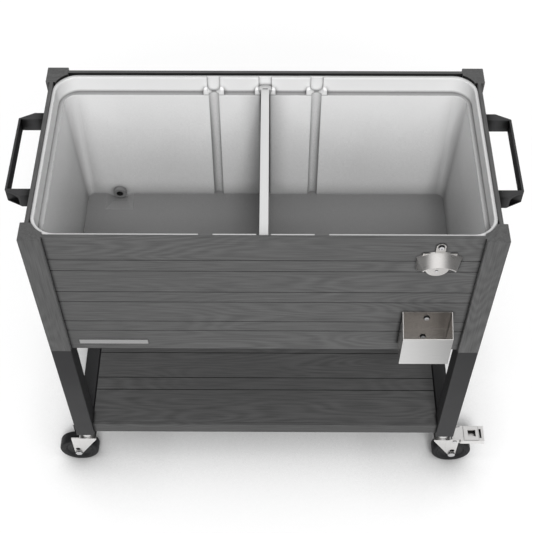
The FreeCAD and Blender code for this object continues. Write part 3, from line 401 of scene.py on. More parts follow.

# %% [markdown]
# The legs, and the tubes that join them at the shelf's ends, are square steel under a smooth, dark powder coat.
# It is flatter and darker than the boards. The side handles are moulded in charcoal plastic with a fine skin,
# and their hollows are painted black as painted shade. A plain colour would do from afar, but up close it is
# the skin that tells powder coat and plastic from flat paint.

# %% Materials: coat on the legs, plastic of the handles
PALER, CLOUD_SHARE, CLOUD_LOW, CLOUD_HIGH = 1.12, 0.8, 0.3, 0.7
LEG_GREY, HANDLE_GREY, COAT_SHINE = (0.023, 0.023, 0.024, 1.0), (0.036, 0.036, 0.037, 1.0), 0.3
HOLLOW_BLACK, HOLLOW_REACH, HOLLOW_SHARE = 0.002, 0.022, 3.5


def skinned(name, radius, colour, fineness, depth, gloss, **values):
    """A plain colour under a fine skin, with broad clouds in its gloss."""
    material, tree, inputs, spot, edges = start_material(name, radius, **values)
    skin = use_group(tree, skin_group, Vector=spot, Fineness=fineness)
    clouds = sums(tree, "MULTIPLY", skin["Clouds"], CLOUD_SHARE)
    feed(tree, inputs["Base Color"], mixed(tree, clouds, colour, scaled(colour, PALER)))
    feed(tree, inputs["Roughness"], between(tree, skin["Clouds"], CLOUD_LOW, CLOUD_HIGH, *gloss))
    bump(tree, inputs, edges, skin["Height"], depth)
    return material, tree, inputs, spot


leg_coat = skinned("leg_coat", radius=0.0015, colour=LEG_GREY, fineness=900.0, depth=0.00006,
                   gloss=(0.5, 0.6), Specular_IOR_Level=COAT_SHINE)[0]
give(leg_coat, "leg_", "shelf_tube")
handle, tree, inputs = skinned("handle_plastic", radius=0.0016, colour=HANDLE_GREY, fineness=1100.0,
                               depth=0.00008, gloss=(0.45, 0.58), Specular_IOR_Level=COAT_SHINE)[:3]
# Painted shade: the hollows of the handles are painted black.
shaded(tree, inputs, colour_so_far(inputs), grey(HOLLOW_BLACK), HOLLOW_REACH, HOLLOW_SHARE)
give(handle, "handle_left", "handle_right")

# %% [markdown]
# The tub and its divider are light grey mouldings. A deep tub is dimmer at its foot and in its corners, because
# less of the sky is open there. Lamps alone give a part of that, and the rest is painted shade: the plain
# measure of the crevice group, taken once over the depth of the tub and once close by, darkens the colour.

# %% Shade in the depth of the tub
DEEP_REACH, DEEP_CLOSED, DEEP_OPEN, DEEP_SHARE = 0.4, 0.13, 0.38, 0.52
CORNER_REACH, CORNER_CLOSED, CORNER_OPEN, CORNER_SHARE = 0.045, 0.55, 0.97, 0.62
TUB_SHADE, CREVICE_REACH, CREVICE_SHARE = grey(0.1), 0.008, 0.75
TUB_SKIN = {"fineness": 700.0, "depth": 0.00005, "gloss": (0.42, 0.5)}


def deep(tree, colour, plain=0.0):
    """Paints shade into a colour where little of the sky is open, and in corners unless the spot is plain."""
    sky = use_group(tree, crevice_group, Distance=DEEP_REACH)["Open"]
    room = use_group(tree, crevice_group, Distance=CORNER_REACH)["Open"]
    corner = between(tree, room, CORNER_CLOSED, CORNER_OPEN, CORNER_SHARE, 1.0)
    corner = sums(tree, "MAXIMUM", corner, plain)
    depth = between(tree, sky, DEEP_CLOSED, DEEP_OPEN, DEEP_SHARE, 1.0)
    return mixed(tree, sums(tree, "MULTIPLY", depth, corner), grey(0.0), colour)


print("shade reaches", DEEP_REACH, "m in the tub and", CORNER_REACH, "m in its corners")

# %% [markdown]
# The tub's floor is plainly darker than its walls, with a sharp line between them: partly a darker grey of its
# own and partly painted shade. The narrow ledge round the inside is a little darker too, as painted shade, and
# the top of the rim is darker as painted shade. These look up, so the material reads the height and the
# direction of the spot. Each mask below is 1 at the place that its name tells and 0 elsewhere. The floor could
# be split off as a mesh of its own, but this way the CAD node stays whole.

# %% Material: tub, where a spot is
TUB_WALL, TUB_SOFTNESS = grey(0.81), 0.004
FLOOR_LINE, LEDGE_LINE, RIM_LINE = 0.5105, 0.7955, 0.8310
LINE_SOFTNESS, UPPER_SOFTNESS, UP_STARTS, UP_FULL = 0.0006, 0.006, 0.3, 0.5
LEDGE_END_STARTS, LEDGE_END_FULL = 0.370, 0.385

tub, tree, inputs, spot = skinned("tub_plastic", radius=TUB_SOFTNESS, colour=TUB_WALL, **TUB_SKIN)
where = axes(tree, spot)
facing = axes(tree, place(tree, "ShaderNodeNewGeometry").outputs["True Normal"])
height, upward = where["Z"], between(tree, facing["Z"], UP_STARTS, UP_FULL)
on_floor = between(tree, height, FLOOR_LINE + LINE_SOFTNESS, FLOOR_LINE)
on_floor = sums(tree, "MULTIPLY", on_floor, upward)
on_rim = between(tree, height, RIM_LINE - LINE_SOFTNESS, RIM_LINE)
on_rim = sums(tree, "MULTIPLY", on_rim, upward)
from_ledge = sums(tree, "ABSOLUTE", sums(tree, "SUBTRACT", height, LEDGE_LINE))
on_ledge = between(tree, from_ledge, 2 * LINE_SOFTNESS, LINE_SOFTNESS)
at_ends = between(tree, sums(tree, "ABSOLUTE", where["X"]), LEDGE_END_STARTS, LEDGE_END_FULL)
above = between(tree, height, LEDGE_LINE + LINE_SOFTNESS, LEDGE_LINE + UPPER_SOFTNESS)
print("tub: floor at", FLOOR_LINE, "ledge at", LEDGE_LINE, "rim at", RIM_LINE)

# %% [markdown]
# The masks now choose the colours. The ledge's painted shade is darker along the front and back than at the two
# ends. The slopes of the small sump before the drain get less light than the floor, so they are painted paler,
# each by the way it faces, as painted light that keeps them as quiet as the floor. Above the ledge the wall is
# painted paler as painted light, the rim's top darker as painted shade, and below the ledge the two end walls
# are painted a little dimmer towards the floor as painted shade. Extra lamps could do the same, but they would
# spill on everything else.

# %% Material: tub, colours
TUB_UPPER, TUB_RIM, TUB_FLOOR = grey(0.9), grey(0.64), grey(0.185)
TUB_LEDGE, TUB_LEDGE_END = grey(0.42), grey(0.6)
SUMP_LEFT, SUMP_RIGHT, SUMP_FRONT = grey(0.205), grey(0.33), grey(0.28)
SLOPE_FULL, SLOPE_ENDS = 0.965, 0.985
RIGHT_STARTS, RIGHT_FULL, FRONT_STARTS, FRONT_FULL = 0.1, -0.3, 0.1, 0.25
END_SHARE, END_LOW, END_HIGH, ENDWAY_STARTS, ENDWAY_FULL = 0.8, 0.67, 0.78, 0.4, 0.9

# Painted shade on the ledge, less of it at the two ends.
ledge_colour = mixed(tree, at_ends, TUB_LEDGE, TUB_LEDGE_END)
wall_colour = mixed(tree, on_ledge, colour_so_far(inputs), ledge_colour)
# Painted light: the sump's slopes are paler, by the way each one faces.
sump_side = mixed(tree, between(tree, facing["X"], RIGHT_STARTS, RIGHT_FULL), SUMP_LEFT, SUMP_RIGHT)
sump_colour = mixed(tree, between(tree, facing["Y"], FRONT_STARTS, FRONT_FULL), sump_side, SUMP_FRONT)
floor_colour = mixed(tree, between(tree, facing["Z"], SLOPE_FULL, SLOPE_ENDS), sump_colour, TUB_FLOOR)
# Painted shade: darker in the depth of the tub, and in its corners except on the floor.
lower = deep(tree, mixed(tree, on_floor, wall_colour, floor_colour), on_floor)
# Painted shade: the end walls are dimmer towards the floor.
end_wall = between(tree, sums(tree, "ABSOLUTE", facing["X"]), ENDWAY_STARTS, ENDWAY_FULL, 1.0, END_SHARE)
end_wall = between(tree, height, END_LOW, END_HIGH, end_wall, 1.0)
lower = mixed(tree, end_wall, grey(0.0), lower)
# Painted light on the wall above the ledge, and painted shade on the rim's top.
colour = mixed(tree, above, lower, mixed(tree, on_rim, TUB_UPPER, TUB_RIM))
strength = between(tree, on_floor, 0.0, 1.0, CREVICE_SHARE, 0.0)
# Painted shade in crevices, except on the floor.
shaded(tree, inputs, colour, TUB_SHADE, CREVICE_REACH, strength)
give(tub, "ice_tub")

# %% [markdown]
# The divider is moulded from the same plastic in a slightly darker grey, and the tub's painted shade darkens its
# foot and its crevices too. It could share the tub's material, but that one is coloured by height and would draw
# the tub's lines on it.

# %% Material: divider
DIVIDER_GREY, DIVIDER_SOFTNESS = grey(0.58), 0.0014

board, tree, inputs = skinned("divider_plastic", radius=DIVIDER_SOFTNESS, colour=DIVIDER_GREY, **TUB_SKIN)[:3]
# Painted shade in the depth of the tub and in crevices.
shaded(tree, inputs, deep(tree, colour_so_far(inputs)), TUB_SHADE, CREVICE_REACH, CREVICE_SHARE)
give(board, "divider")

# %% [markdown]
# The opener and the cap catcher are pressed from stainless sheet and brushed lengthwise. The casters are zinc
# plated, which is a brighter and cloudier grey. One function makes all these metals: the streaks of the
# brushing change the gloss, and crevices are painted dark as painted shade. Each metal could have a recipe of
# its own, but a shared one keeps them alike in the light.

# %% Materials: metals
METAL_SHADE, METAL_SHADE_SHARE, DULLER = (0.05, 0.048, 0.046, 1.0), 0.8, 0.9
METAL_FINENESS, METAL_CLOUDS, STREAK_LOW, STREAK_HIGH = 900.0, 0.06, 0.3, 0.7


def brushed(name, colour, turn, gloss, depth=0.00001, radius=0.0006, reach=0.012):
    material, tree, inputs, spot, edges = start_material(name, radius, Metallic=1.0)
    turned = place(tree, "ShaderNodeMapping", {"Vector": spot, "Rotation": turn}).outputs[0]
    brush = use_group(tree, brush_group, Vector=turned)
    skin = use_group(tree, skin_group, Vector=spot, Fineness=METAL_FINENESS)
    streaked = mixed(tree, brush["Streaks"], scaled(colour, DULLER), colour)
    # Painted shade: crevices are darkened.
    shaded(tree, inputs, streaked, METAL_SHADE, reach, METAL_SHADE_SHARE)
    rough = between(tree, brush["Streaks"], STREAK_LOW, STREAK_HIGH, *gloss)
    rough = sums(tree, "ADD", rough, sums(tree, "MULTIPLY", skin["Clouds"], METAL_CLOUDS))
    feed(tree, inputs["Roughness"], rough)
    bump(tree, inputs, edges, brush["Height"], depth)
    return material, tree, inputs, spot


opener_steel = brushed("opener_steel", (0.90, 0.88, 0.86, 1.0), TO_LENGTH, gloss=(0.22, 0.3))[0]
give(opener_steel, "bottle_opener")
strip_metal = brushed("bare_strip", (0.80, 0.80, 0.80, 1.0), TO_LENGTH, gloss=(0.3, 0.4))[0]
give(strip_metal, "front_strip")
zinc = brushed("zinc_plate", (0.82, 0.81, 0.80, 1.0), TO_HEIGHT, gloss=(0.22, 0.32))[0]
give(zinc, "caster_stem", "caster_fork", "brake_pedal")
bolt_steel = brushed("turned_steel", (0.74, 0.74, 0.75, 1.0), TO_HEIGHT, gloss=(0.16, 0.26))[0]
give(bolt_steel, "caster_axle", "brake_pin", "handle_screws", "shelf_screws", "leg_grub_screws")
tray_sheet = brushed("tray_sheet", (0.62, 0.63, 0.64, 1.0), TO_DEPTH, gloss=(0.35, 0.5))[0]
give(tray_sheet, "bottom_tray")

# %% [markdown]
# The catcher's front is painted a duller grey than its inside, as painted shade: the inside looks brighter
# because its walls light each other. Its faces could be picked one by one, but the front is also the part of the
# sheet that lies farthest forward, so the material compares the depth of the spot with that of the CAD box.

# %% Material: cap catcher
FACE_DEPTH, FACE_GREY, CATCHER_REACH = 0.0003, (0.62, 0.617, 0.612, 1.0), 0.004

catcher, tree, inputs, spot = brushed("catcher_steel", (0.82, 0.80, 0.78, 1.0), TO_LENGTH, gloss=(0.16, 0.26),
                                      reach=CATCHER_REACH)
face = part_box("cap_catcher")[0][1] + FACE_DEPTH
outside = sums(tree, "LESS_THAN", axes(tree, spot)["Y"], face)
# Painted shade: the front of the sheet is a duller grey than its inside.
feed(tree, inputs["Base Color"], mixed(tree, outside, colour_so_far(inputs), FACE_GREY))
give(catcher, "cap_catcher")

# %% [markdown]
# What is left is dark and dull: rubber wheels and seals, the drain's plastic, and the pale foam boards that
# nobody sees until the cooler is taken apart. They could each have a new recipe, but the skin of the handles
# suits them all.

# %% Materials: rubber, drain and insulation
WHEEL_SHINE = 0.22

tyre = skinned("wheel_rubber", radius=0.001, colour=(0.010, 0.010, 0.011, 1.0), fineness=1300.0, depth=0.0001,
               gloss=(0.5, 0.65), Specular_IOR_Level=WHEEL_SHINE)[0]
core = skinned("wheel_core", radius=0.0008, colour=(0.014, 0.014, 0.015, 1.0), fineness=900.0, depth=0.00006,
               gloss=(0.4, 0.5), Specular_IOR_Level=WHEEL_SHINE)[0]
seal = skinned("seal_rubber", radius=0.0005, colour=grey(0.02), fineness=1300.0, depth=0.0001,
               gloss=(0.6, 0.7))[0]
give(seal, "drain_seal", "cap_seal")
foam = skinned("insulation_foam", radius=0.001, colour=(0.76, 0.70, 0.52, 1.0), fineness=420.0, depth=0.0006,
               gloss=(0.85, 0.95))[0]
give(foam, "foam_")
cap = skinned("cap_plastic", radius=0.0008, colour=grey(0.05), fineness=1000.0, depth=0.00005,
              gloss=(0.4, 0.5))[0]
give(cap, "drain_nut", "drain_cap")

# %% [markdown]
# The drain's spout is mid grey on its flange, and its bore is painted black as painted shade. The bore is a
# round tunnel, so the material measures how far the spot is from the tunnel's middle line. The faces of the bore
# could be picked by hand, but a distance also gives its edge a little softness.

# %% Material: drain spout
SPOUT_GREY, SPOUT_BLACK, BORE_RADIUS, BORE_SOFTNESS = grey(0.15), grey(0.012), 0.0069, 0.0006
ACROSS_BORE = (1.0, 0.0, 1.0)

spout_low, spout_high = [Vector(corner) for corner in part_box("drain_spout")]
spout, tree, inputs, spot = skinned("spout_plastic", radius=0.0012, colour=SPOUT_GREY, fineness=1000.0,
                                    depth=0.00005, gloss=(0.35, 0.45))
middle = {0: spot, 1: (spout_low + spout_high) / 2}
from_middle = place(tree, "ShaderNodeVectorMath", middle, operation="SUBTRACT").outputs[0]
from_axis = length(tree, stretched(tree, from_middle, ACROSS_BORE))
outside = between(tree, from_axis, BORE_RADIUS, BORE_RADIUS + BORE_SOFTNESS)
# Painted shade: the bore is painted black.
feed(tree, inputs["Base Color"], mixed(tree, outside, SPOUT_BLACK, colour_so_far(inputs)))
give(spout, "drain_spout")

# %% [markdown]
# Small hardware is where a plain solid looks like a stand-in, so the screws and the wheels are modelled here by
# hand. One helper picks faces or edges by where they are, as a modeller does with the mouse. The others select
# whole pieces, enter and leave edit mode, and copy a finished piece. A mesh could be written out point by point
# too, but these steps can be followed in Blender's own window.

# %% Helpers for modelling
SMOOTH_ANGLE = math.radians(35.0)
SAME_PLACE = 1e-6
ROUND = 0.5
LYING = (math.pi / 2, 0.0, 0.0)


def only(*pieces):
    """Selects these pieces and nothing else, and makes the first one active."""
    bpy.ops.object.select_all(action="DESELECT")
    for piece in pieces:
        piece.select_set(True)
    if pieces:
        bpy.context.view_layer.objects.active = pieces[0]


def new_piece(name):
    """Takes the primitive that was just added, with its place written into its mesh, into edit mode."""
    piece = bpy.context.object
    piece.name = piece.data.name = name
    bpy.ops.object.transform_apply(location=True, rotation=True, scale=True)
    bpy.ops.object.mode_set(mode="EDIT")
    return piece


def pick(piece, kind, test):
    """Selects the faces or edges of a piece in edit mode that pass a test."""
    bpy.ops.mesh.select_mode(type="FACE" if kind == "faces" else "EDGE")
    bpy.ops.mesh.select_all(action="DESELECT")
    shape = bmesh.from_edit_mesh(piece.data)
    for part in getattr(shape, kind):
        part.select_set(test(part))
    bmesh.update_edit_mesh(piece.data)


def finish_piece(piece, *materials):
    """Leaves edit mode, with the faces turned outwards and smooth shading."""
    bpy.ops.mesh.select_all(action="SELECT")
    bpy.ops.mesh.normals_make_consistent(inside=False)
    bpy.ops.object.mode_set(mode="OBJECT")
    bpy.ops.object.shade_smooth_by_angle(angle=SMOOTH_ANGLE)
    for material in materials:
        piece.data.materials.append(material)


def copied(piece, name, shift):
    """A copy with a mesh of its own, moved by a shift that is written into the mesh."""
    only(piece)
    bpy.ops.object.duplicate(linked=False)
    bpy.ops.transform.translate(value=shift)
    bpy.ops.object.transform_apply(location=True, rotation=True, scale=True)
    bpy.context.object.name = bpy.context.object.data.name = name
    return bpy.context.object


def middle_of(node):
    """The middle of a CAD node's box, and half its size."""
    low, high = [Vector(corner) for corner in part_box(node)]
    return (low + high) / 2, (high - low) / 2


print("modelling helpers ready")

# %% [markdown]
# The screws of the opener and the catcher are polished pan heads. A polished dome shows a bright crown in a
# black ring, because its rim reflects the dark boards around it. Here the ring is a painted reflection, black by
# how far a spot faces away from the front, and the crown is mostly not metal, so its pale grey shows as a
# painted highlight. A perfect mirror could find that ring by itself, but only in a room that is modelled all
# round.

# %% Material: polished screws
SCREW_GREY, SCREW_SOFTNESS, SCREW_REACH = (0.6, 0.6, 0.61, 1.0), 0.0002, 0.004
RIM_FACING, CROWN_FACING, RIM_BLACK, CROWN_METAL = 0.66, 0.96, 0.01, 0.2

chrome, tree, inputs = brushed("polished_screw", SCREW_GREY, TO_LENGTH, gloss=(0.05, 0.1),
                               radius=SCREW_SOFTNESS, reach=SCREW_REACH)[:3]
# The crown is mostly not metal, so its pale grey is a painted highlight.
inputs["Metallic"].default_value = CROWN_METAL
backward = axes(tree, place(tree, "ShaderNodeNewGeometry").outputs["Normal"])["Y"]
ahead = between(tree, sums(tree, "MULTIPLY", backward, -1.0), RIM_FACING, CROWN_FACING)
# Painted reflection: the rim of each head is painted black.
feed(tree, inputs["Base Color"], mixed(tree, ahead, grey(RIM_BLACK), colour_so_far(inputs)))
print(chrome.name, "is ready")

# %% [markdown]
# A head starts as a short cylinder that lies on its side, and its front rim is bevelled into a dome. The CAD
# model already has plain screws, and their box says where the seat of a head is. A squashed sphere would give a
# dome too, but a bevel keeps the flat crown and the straight rim.

# %% One domed head
HEAD_RADIUS, HEAD_HEIGHT, HEAD_SIDES, DOME_BEVEL, DOME_STEPS = 0.0058, 0.0036, 40, 0.0033, 8


def domed(name, spot, radius, height, bevel):
    """A head that faces the front, with the middle of its seat at a spot."""
    only()
    bpy.ops.mesh.primitive_cylinder_add(vertices=HEAD_SIDES, radius=radius, depth=height, rotation=LYING,
                                        location=spot - Vector((0.0, height / 2, 0.0)))
    piece = new_piece(name)
    front = spot.y - height
    pick(piece, "edges", lambda edge: all(abs(v.co.y - front) < SAME_PLACE for v in edge.verts))
    bpy.ops.mesh.bevel(offset=bevel, segments=DOME_STEPS, profile=ROUND, affect="EDGES")
    finish_piece(piece)
    return piece


opener_low, opener_high = [Vector(corner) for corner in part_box("opener_screws")]
opener_seat, middle = opener_low.y + HEAD_HEIGHT, opener_low.x + HEAD_RADIUS
home = Vector((middle, opener_seat, opener_high.z - HEAD_RADIUS))
head = domed("opener_head", home, HEAD_RADIUS, HEAD_HEIGHT, DOME_BEVEL)
print(head.name, len(head.data.polygons), "faces")

# %% [markdown]
# The head has a small cross recess. A cross, grown from a cube by pushing four of its faces out, is cut into
# the dome with a Boolean modifier. It could be inset and pushed in, but the dome has no faces in the form of a
# cross.

# %% Cross recess
RECESS_CORE, RECESS_ARM, RECESS_DEPTH, SIDEWAYS = 0.0010, 0.0013, 0.0012, 0.5

only()
bpy.ops.mesh.primitive_cube_add(size=RECESS_CORE, location=(home.x, home.y - HEAD_HEIGHT, home.z))
cross = new_piece("recess_cutter")
pick(cross, "faces", lambda face: abs(face.normal.y) < SIDEWAYS)
bpy.ops.mesh.extrude_faces_move(TRANSFORM_OT_shrink_fatten={"value": RECESS_ARM})
pick(cross, "faces", lambda face: face.normal.y > SIDEWAYS)
bpy.ops.transform.translate(value=(0.0, RECESS_DEPTH - RECESS_CORE / 2, 0.0))
finish_piece(cross)
only(head)
cut = head.modifiers.new("recess", "BOOLEAN")
cut.object, cut.operation, cut.solver = cross, "DIFFERENCE", "EXACT"
bpy.ops.object.modifier_apply(modifier=cut.name)
bpy.ops.object.shade_smooth_by_angle(angle=SMOOTH_ANGLE)
bpy.data.objects.remove(cross)
print("with its recess:", len(head.data.polygons), "faces")

# %% [markdown]
# One head is modelled, and those of the catcher are copies. The opener's lower screw is a low head without a
# recess, so that a bottle can pass it. The heads of one CAD node are joined into one piece, which takes the
# node's place. The screws could be modelled one by one, but copies are sure to match.

# %% All screw heads
LOW_RADIUS, LOW_HEIGHT, LOW_BEVEL = 0.0028, 0.0008, 0.0004


def joined(pieces, name, node):
    """One piece out of several heads, in place of a CAD node."""
    only(*pieces)
    for piece in pieces:
        piece.data.materials.clear()
        piece.data.materials.append(chrome)
    bpy.ops.object.join()
    pieces[0].name = pieces[0].data.name = name
    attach(pieces[0], "cabinet")
    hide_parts(node)
    print(name, len(pieces[0].data.polygons), "faces")


catcher_low, catcher_high = [Vector(corner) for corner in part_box("catcher_screws")]
catcher_seat = catcher_low.y + HEAD_HEIGHT
catcher_levels = (catcher_low.z + HEAD_RADIUS, catcher_high.z - HEAD_RADIUS)
catcher_spots = [Vector((middle, catcher_seat, level)) for level in catcher_levels]
catcher_heads = [copied(head, "catcher_head", spot - home) for spot in catcher_spots]
joined(catcher_heads, "catcher_screw_heads", "catcher_screws")
low_spot = Vector((middle, opener_seat, opener_low.z + LOW_RADIUS))
low_head = domed("low_head", low_spot, LOW_RADIUS, LOW_HEIGHT, LOW_BEVEL)
joined([head, low_head], "opener_screw_heads", "opener_screws")

# %% [markdown]
# Each wheel is a black tyre moulded on a plastic core. It starts as a cylinder that lies on its side, as wide
# as the plain wheel in the CAD model, and its tread edges are bevelled round. A profile spun round the axle
# would give the same form, but bevels and insets show each step on its own.

# %% One wheel: tread
WHEEL_SIDES, TREAD_ROUND, TREAD_STEPS = 96, 0.005, 5

centre, size = middle_of("caster_wheel_front_right")
wheel_radius, wheel_half = size.x, size.y
only()
bpy.ops.mesh.primitive_cylinder_add(vertices=WHEEL_SIDES, radius=wheel_radius, depth=2 * wheel_half,
                                    location=centre, rotation=LYING)
wheel = new_piece("wheel")
pick(wheel, "edges", lambda edge: abs(edge.verts[0].co.y - edge.verts[1].co.y) < SAME_PLACE)
bpy.ops.mesh.bevel(offset=TREAD_ROUND, segments=TREAD_STEPS, profile=ROUND, affect="EDGES")
print("wheel radius:", round(wheel_radius, 4), "m")

# %% [markdown]
# Each flank is inset and pushed in and out: a flat tyre wall, a fine groove, a dish and a raised hub. Last, the
# two hub faces are deleted and their rims bridged, which opens the bore for the axle.

# %% One wheel: flanks and bore
TYRE_WALL, GROOVE, DISH_SLOPE, DISH_DEPTH = 0.006, 0.0008, 0.004, 0.004
HUB_RADIUS, HUB_CHAMFER, BORE = 0.013, 0.001, 0.0052
MANY_CORNERS, SQUARE_ON = 8, 0.99

core_radius = wheel_radius - TREAD_ROUND - TYRE_WALL
dish_floor = core_radius - 2 * GROOVE - DISH_SLOPE - HUB_RADIUS - HUB_CHAMFER
flank_steps = ((TYRE_WALL, 0.0), (0.0, GROOVE), (GROOVE, 0.0), (0.0, -GROOVE), (GROOVE, 0.0),
               (DISH_SLOPE, DISH_DEPTH), (dish_floor, 0.0), (HUB_CHAMFER, -DISH_DEPTH), (HUB_RADIUS - BORE, 0.0))
for side in (-1, 1):
    pick(wheel, "faces", lambda face: face.normal.y * side > SQUARE_ON and len(face.verts) > MANY_CORNERS)
    for inset, depth in flank_steps:
        shift = (0.0, -side * depth, 0.0)
        if inset == 0.0:
            bpy.ops.mesh.extrude_region_move(TRANSFORM_OT_translate={"value": shift})
            continue
        bpy.ops.mesh.inset(thickness=inset, depth=0.0)
        if depth:
            bpy.ops.transform.translate(value=shift)
pick(wheel, "faces", lambda face: len(face.verts) > MANY_CORNERS)
bpy.ops.mesh.delete(type="FACE")
pick(wheel, "edges", lambda edge: edge.is_boundary)
bpy.ops.mesh.bridge_edge_loops()
finish_piece(wheel, tyre, core)
print("wheel:", len(wheel.data.polygons), "faces")

# %% [markdown]
# The faces inside the groove belong to the core and get its material. The wheel is then copied to its four
# places, and each copy rides on the body that turns there. Linked copies would be lighter, but each piece needs
# a mesh of its own to sit in its place.

# %% Four wheels
for face in wheel.data.polygons:
    from_axle = math.hypot(face.center.x - centre.x, face.center.z - centre.z)
    face.material_index = int(from_axle < core_radius - GROOVE / 2)
for corner in ("front_left", "front_right", "rear_left", "rear_right"):
    spot = middle_of("caster_wheel_" + corner)[0]
    one = copied(wheel, "wheel_" + corner, spot - centre)
    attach(one, "wheel_" + corner)
    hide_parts("caster_wheel_" + corner)
    print(one.name, len(one.data.polygons), "faces")
bpy.data.objects.remove(wheel)

# %% [markdown]
# The floor is a wide plane. It isn't a piece of the cooler. A curved backdrop is usual in a studio, but a camera
# that looks down sees only the floor.

# %% Floor
FLOOR_SIZE = 30.0

bpy.ops.mesh.primitive_plane_add(size=FLOOR_SIZE)
floor = bpy.context.object
floor.name = "studio_floor"
print("floor:", FLOOR_SIZE, "m wide")

# %% [markdown]
# The floor is pale. A camera sees it as white where no shadow falls, because a little light of its own is added
# for camera, glossy and transmission rays only, and more of it far out, so that no horizon shows. It lights
# nothing, so it doesn't wash out the shadow under the cooler or change the cooler's colours. The soft shade
# where the shelf hangs low over the floor is deepened with the crevice measure, as a painted shadow. Bright
# metal needs something dark to show its shape, so glossy rays that come from afar find the floor white in a
# strip below the opener and grey beyond, as between flags.

# %% Floor paint
FLOOR_PALE, FLOOR_LIFT, FAR_LIFT, LIFT_STARTS, LIFT_ENDS = 0.86, 0.10, 0.55, 1.2, 4.0
UNDER_REACH, UNDER_CLOSED, UNDER_OPEN, UNDER_SHARE = 0.22, 0.42, 0.92, 0.34
FLAG_MIDDLE, FLAG_STARTS, FLAG_ENDS, FLAG_SHARE = 0.305, 0.04, 0.18, 0.6
FAR_STARTS, FAR_ENDS = 0.3, 0.6


def ray_kinds(tree):
    """What kind of ray arrives, and a mask of those that come from metal and glass."""
    rays = place(tree, "ShaderNodeLightPath").outputs
    return rays, sums(tree, "MAXIMUM", rays["Is Glossy Ray"], rays["Is Transmission Ray"])


floor_paint = bpy.data.materials.new("floor_paint")
floor_paint.use_nodes = True
tree = floor_paint.node_tree
tree.nodes.clear()
rays, shiny = ray_kinds(tree)
hit = place(tree, "ShaderNodeNewGeometry").outputs["Position"]
aside = sums(tree, "ABSOLUTE", sums(tree, "SUBTRACT", axes(tree, hit)["X"], FLAG_MIDDLE))
flags = sums(tree, "MULTIPLY", between(tree, aside, FLAG_STARTS, FLAG_ENDS, 0.0, FLAG_SHARE),
             between(tree, rays["Ray Length"], FAR_STARTS, FAR_ENDS))
kept = sums(tree, "SUBTRACT", 1.0, sums(tree, "MULTIPLY", shiny, flags))
under = use_group(tree, crevice_group, Distance=UNDER_REACH)["Open"]
# Painted shadow: the floor is darker where the shelf hangs low over it.
kept = sums(tree, "MULTIPLY", kept, between(tree, under, UNDER_CLOSED, UNDER_OPEN, UNDER_SHARE, 1.0))
pale = sums(tree, "MULTIPLY", kept, FLOOR_PALE)
white = place(tree, "ShaderNodeCombineXYZ", {0: pale, 1: pale, 2: pale}).outputs[0]
paint = place(tree, "ShaderNodeBsdfDiffuse", {"Color": white})
seen = sums(tree, "MULTIPLY", sums(tree, "MAXIMUM", rays["Is Camera Ray"], shiny), kept)
lift = between(tree, length(tree, hit), LIFT_STARTS, LIFT_ENDS, FLOOR_LIFT, FAR_LIFT)
glow = place(tree, "ShaderNodeEmission", {"Strength": sums(tree, "MULTIPLY", seen, lift)})
both = place(tree, "ShaderNodeAddShader", {0: paint.outputs[0], 1: glow.outputs[0]})
tree.links.new(both.outputs[0], place(tree, "ShaderNodeOutputMaterial").inputs["Surface"])
floor.data.materials.append(floor_paint)
print(floor_paint.name, "on the floor")

# %% [markdown]
# The light is a pale room, brightest in front and overhead, and dimmer to the sides, at the back and near the
# floor. Metal sees a bright strip of room ahead and dark flags on both sides. The camera sees plain white
# wherever the floor ends. A photographed sky could light the scene too, but plain ranges are easy to steer and
# need no file.

# %% Room
ROOM_LIGHT, SIDE_LIGHT, LOW_LIGHT, BACK_LIGHT = 1.34, 0.28, 0.35, 0.4
SIDE_STARTS, SIDE_ENDS, HIGH_STARTS, BACK_STARTS, BACK_ENDS = 0.25, 0.75, 0.7, -0.6, 0.6
STRIP_LIGHT, STRIP_STARTS, STRIP_ENDS, FLAG_LIGHT = 0.95, 0.2, 0.55, 0.14
PLAIN_WHITE = (1.0, 1.0, 1.0, 1.0)

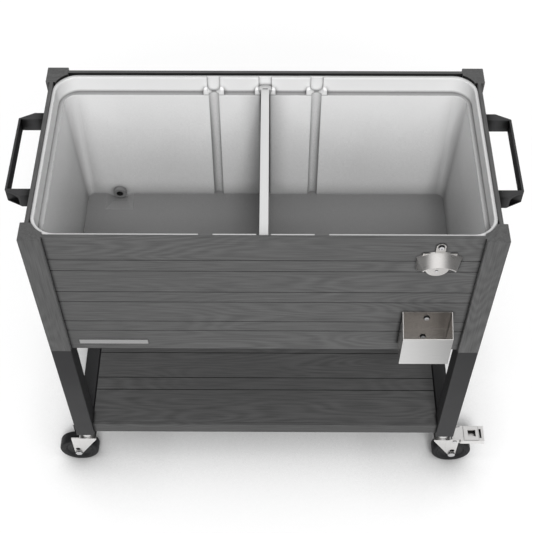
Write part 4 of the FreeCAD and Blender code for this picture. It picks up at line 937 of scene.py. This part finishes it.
world = bpy.data.worlds.new("studio_room")
bpy.context.scene.world = world
world.use_nodes = True
tree = world.node_tree
tree.nodes.clear()
way = axes(tree, place(tree, "ShaderNodeTexCoord").outputs["Generated"])
sideways = sums(tree, "ABSOLUTE", way["X"])
walls = between(tree, sideways, SIDE_STARTS, SIDE_ENDS, ROOM_LIGHT, ROOM_LIGHT * SIDE_LIGHT)
walls = sums(tree, "MULTIPLY", walls, between(tree, way["Z"], 0.0, HIGH_STARTS, LOW_LIGHT, 1.0))
walls = sums(tree, "MULTIPLY", walls, between(tree, way["Y"], BACK_STARTS, BACK_ENDS, 1.0, BACK_LIGHT))
strip = between(tree, sideways, STRIP_STARTS, STRIP_ENDS, STRIP_LIGHT, FLAG_LIGHT)
rays, shiny = ray_kinds(tree)
dull = sums(tree, "SUBTRACT", 1.0, shiny)
level = sums(tree, "MAXIMUM", rays["Is Camera Ray"], weighted(tree, (strip, shiny), (walls, dull)))
room = place(tree, "ShaderNodeBackground", {"Color": PLAIN_WHITE, "Strength": level})
tree.links.new(room.outputs[0], place(tree, "ShaderNodeOutputWorld").inputs["Surface"])
print("room:", ROOM_LIGHT, "in front and overhead")

# %% [markdown]
# One soft box stands high in front and a little to the right, so it reaches over the front panel to the foot of
# the tub's rear wall. Metal doesn't show it, since a square patch of light would break the smooth reflections.
# A small lamp could stand there too, but its shadows would have hard edges.

# %% Lamp
KEY_SPOT, KEY_AIM = Vector((1.0, -8.0, 11.2)), Vector((0.0, 0.0, 0.6))
KEY_SIDE, KEY_WATTS = 3.0, 1230.0

light = bpy.data.lights.new("key_box", "AREA")
light.shape, light.size, light.energy = "SQUARE", KEY_SIDE, KEY_WATTS
lamp = bpy.data.objects.new("key_box", light)
lamp.location = KEY_SPOT
lamp.rotation_euler = (KEY_AIM - KEY_SPOT).to_track_quat("-Z", "Y").to_euler()
lamp.visible_glossy = False
bpy.context.scene.collection.objects.link(lamp)
print(lamp.name, KEY_WATTS, "W")

# %% [markdown]
# The picture is shown as the plain light values are, with no film look.

# %% Finish
bpy.context.scene.view_settings.view_transform = "Standard"
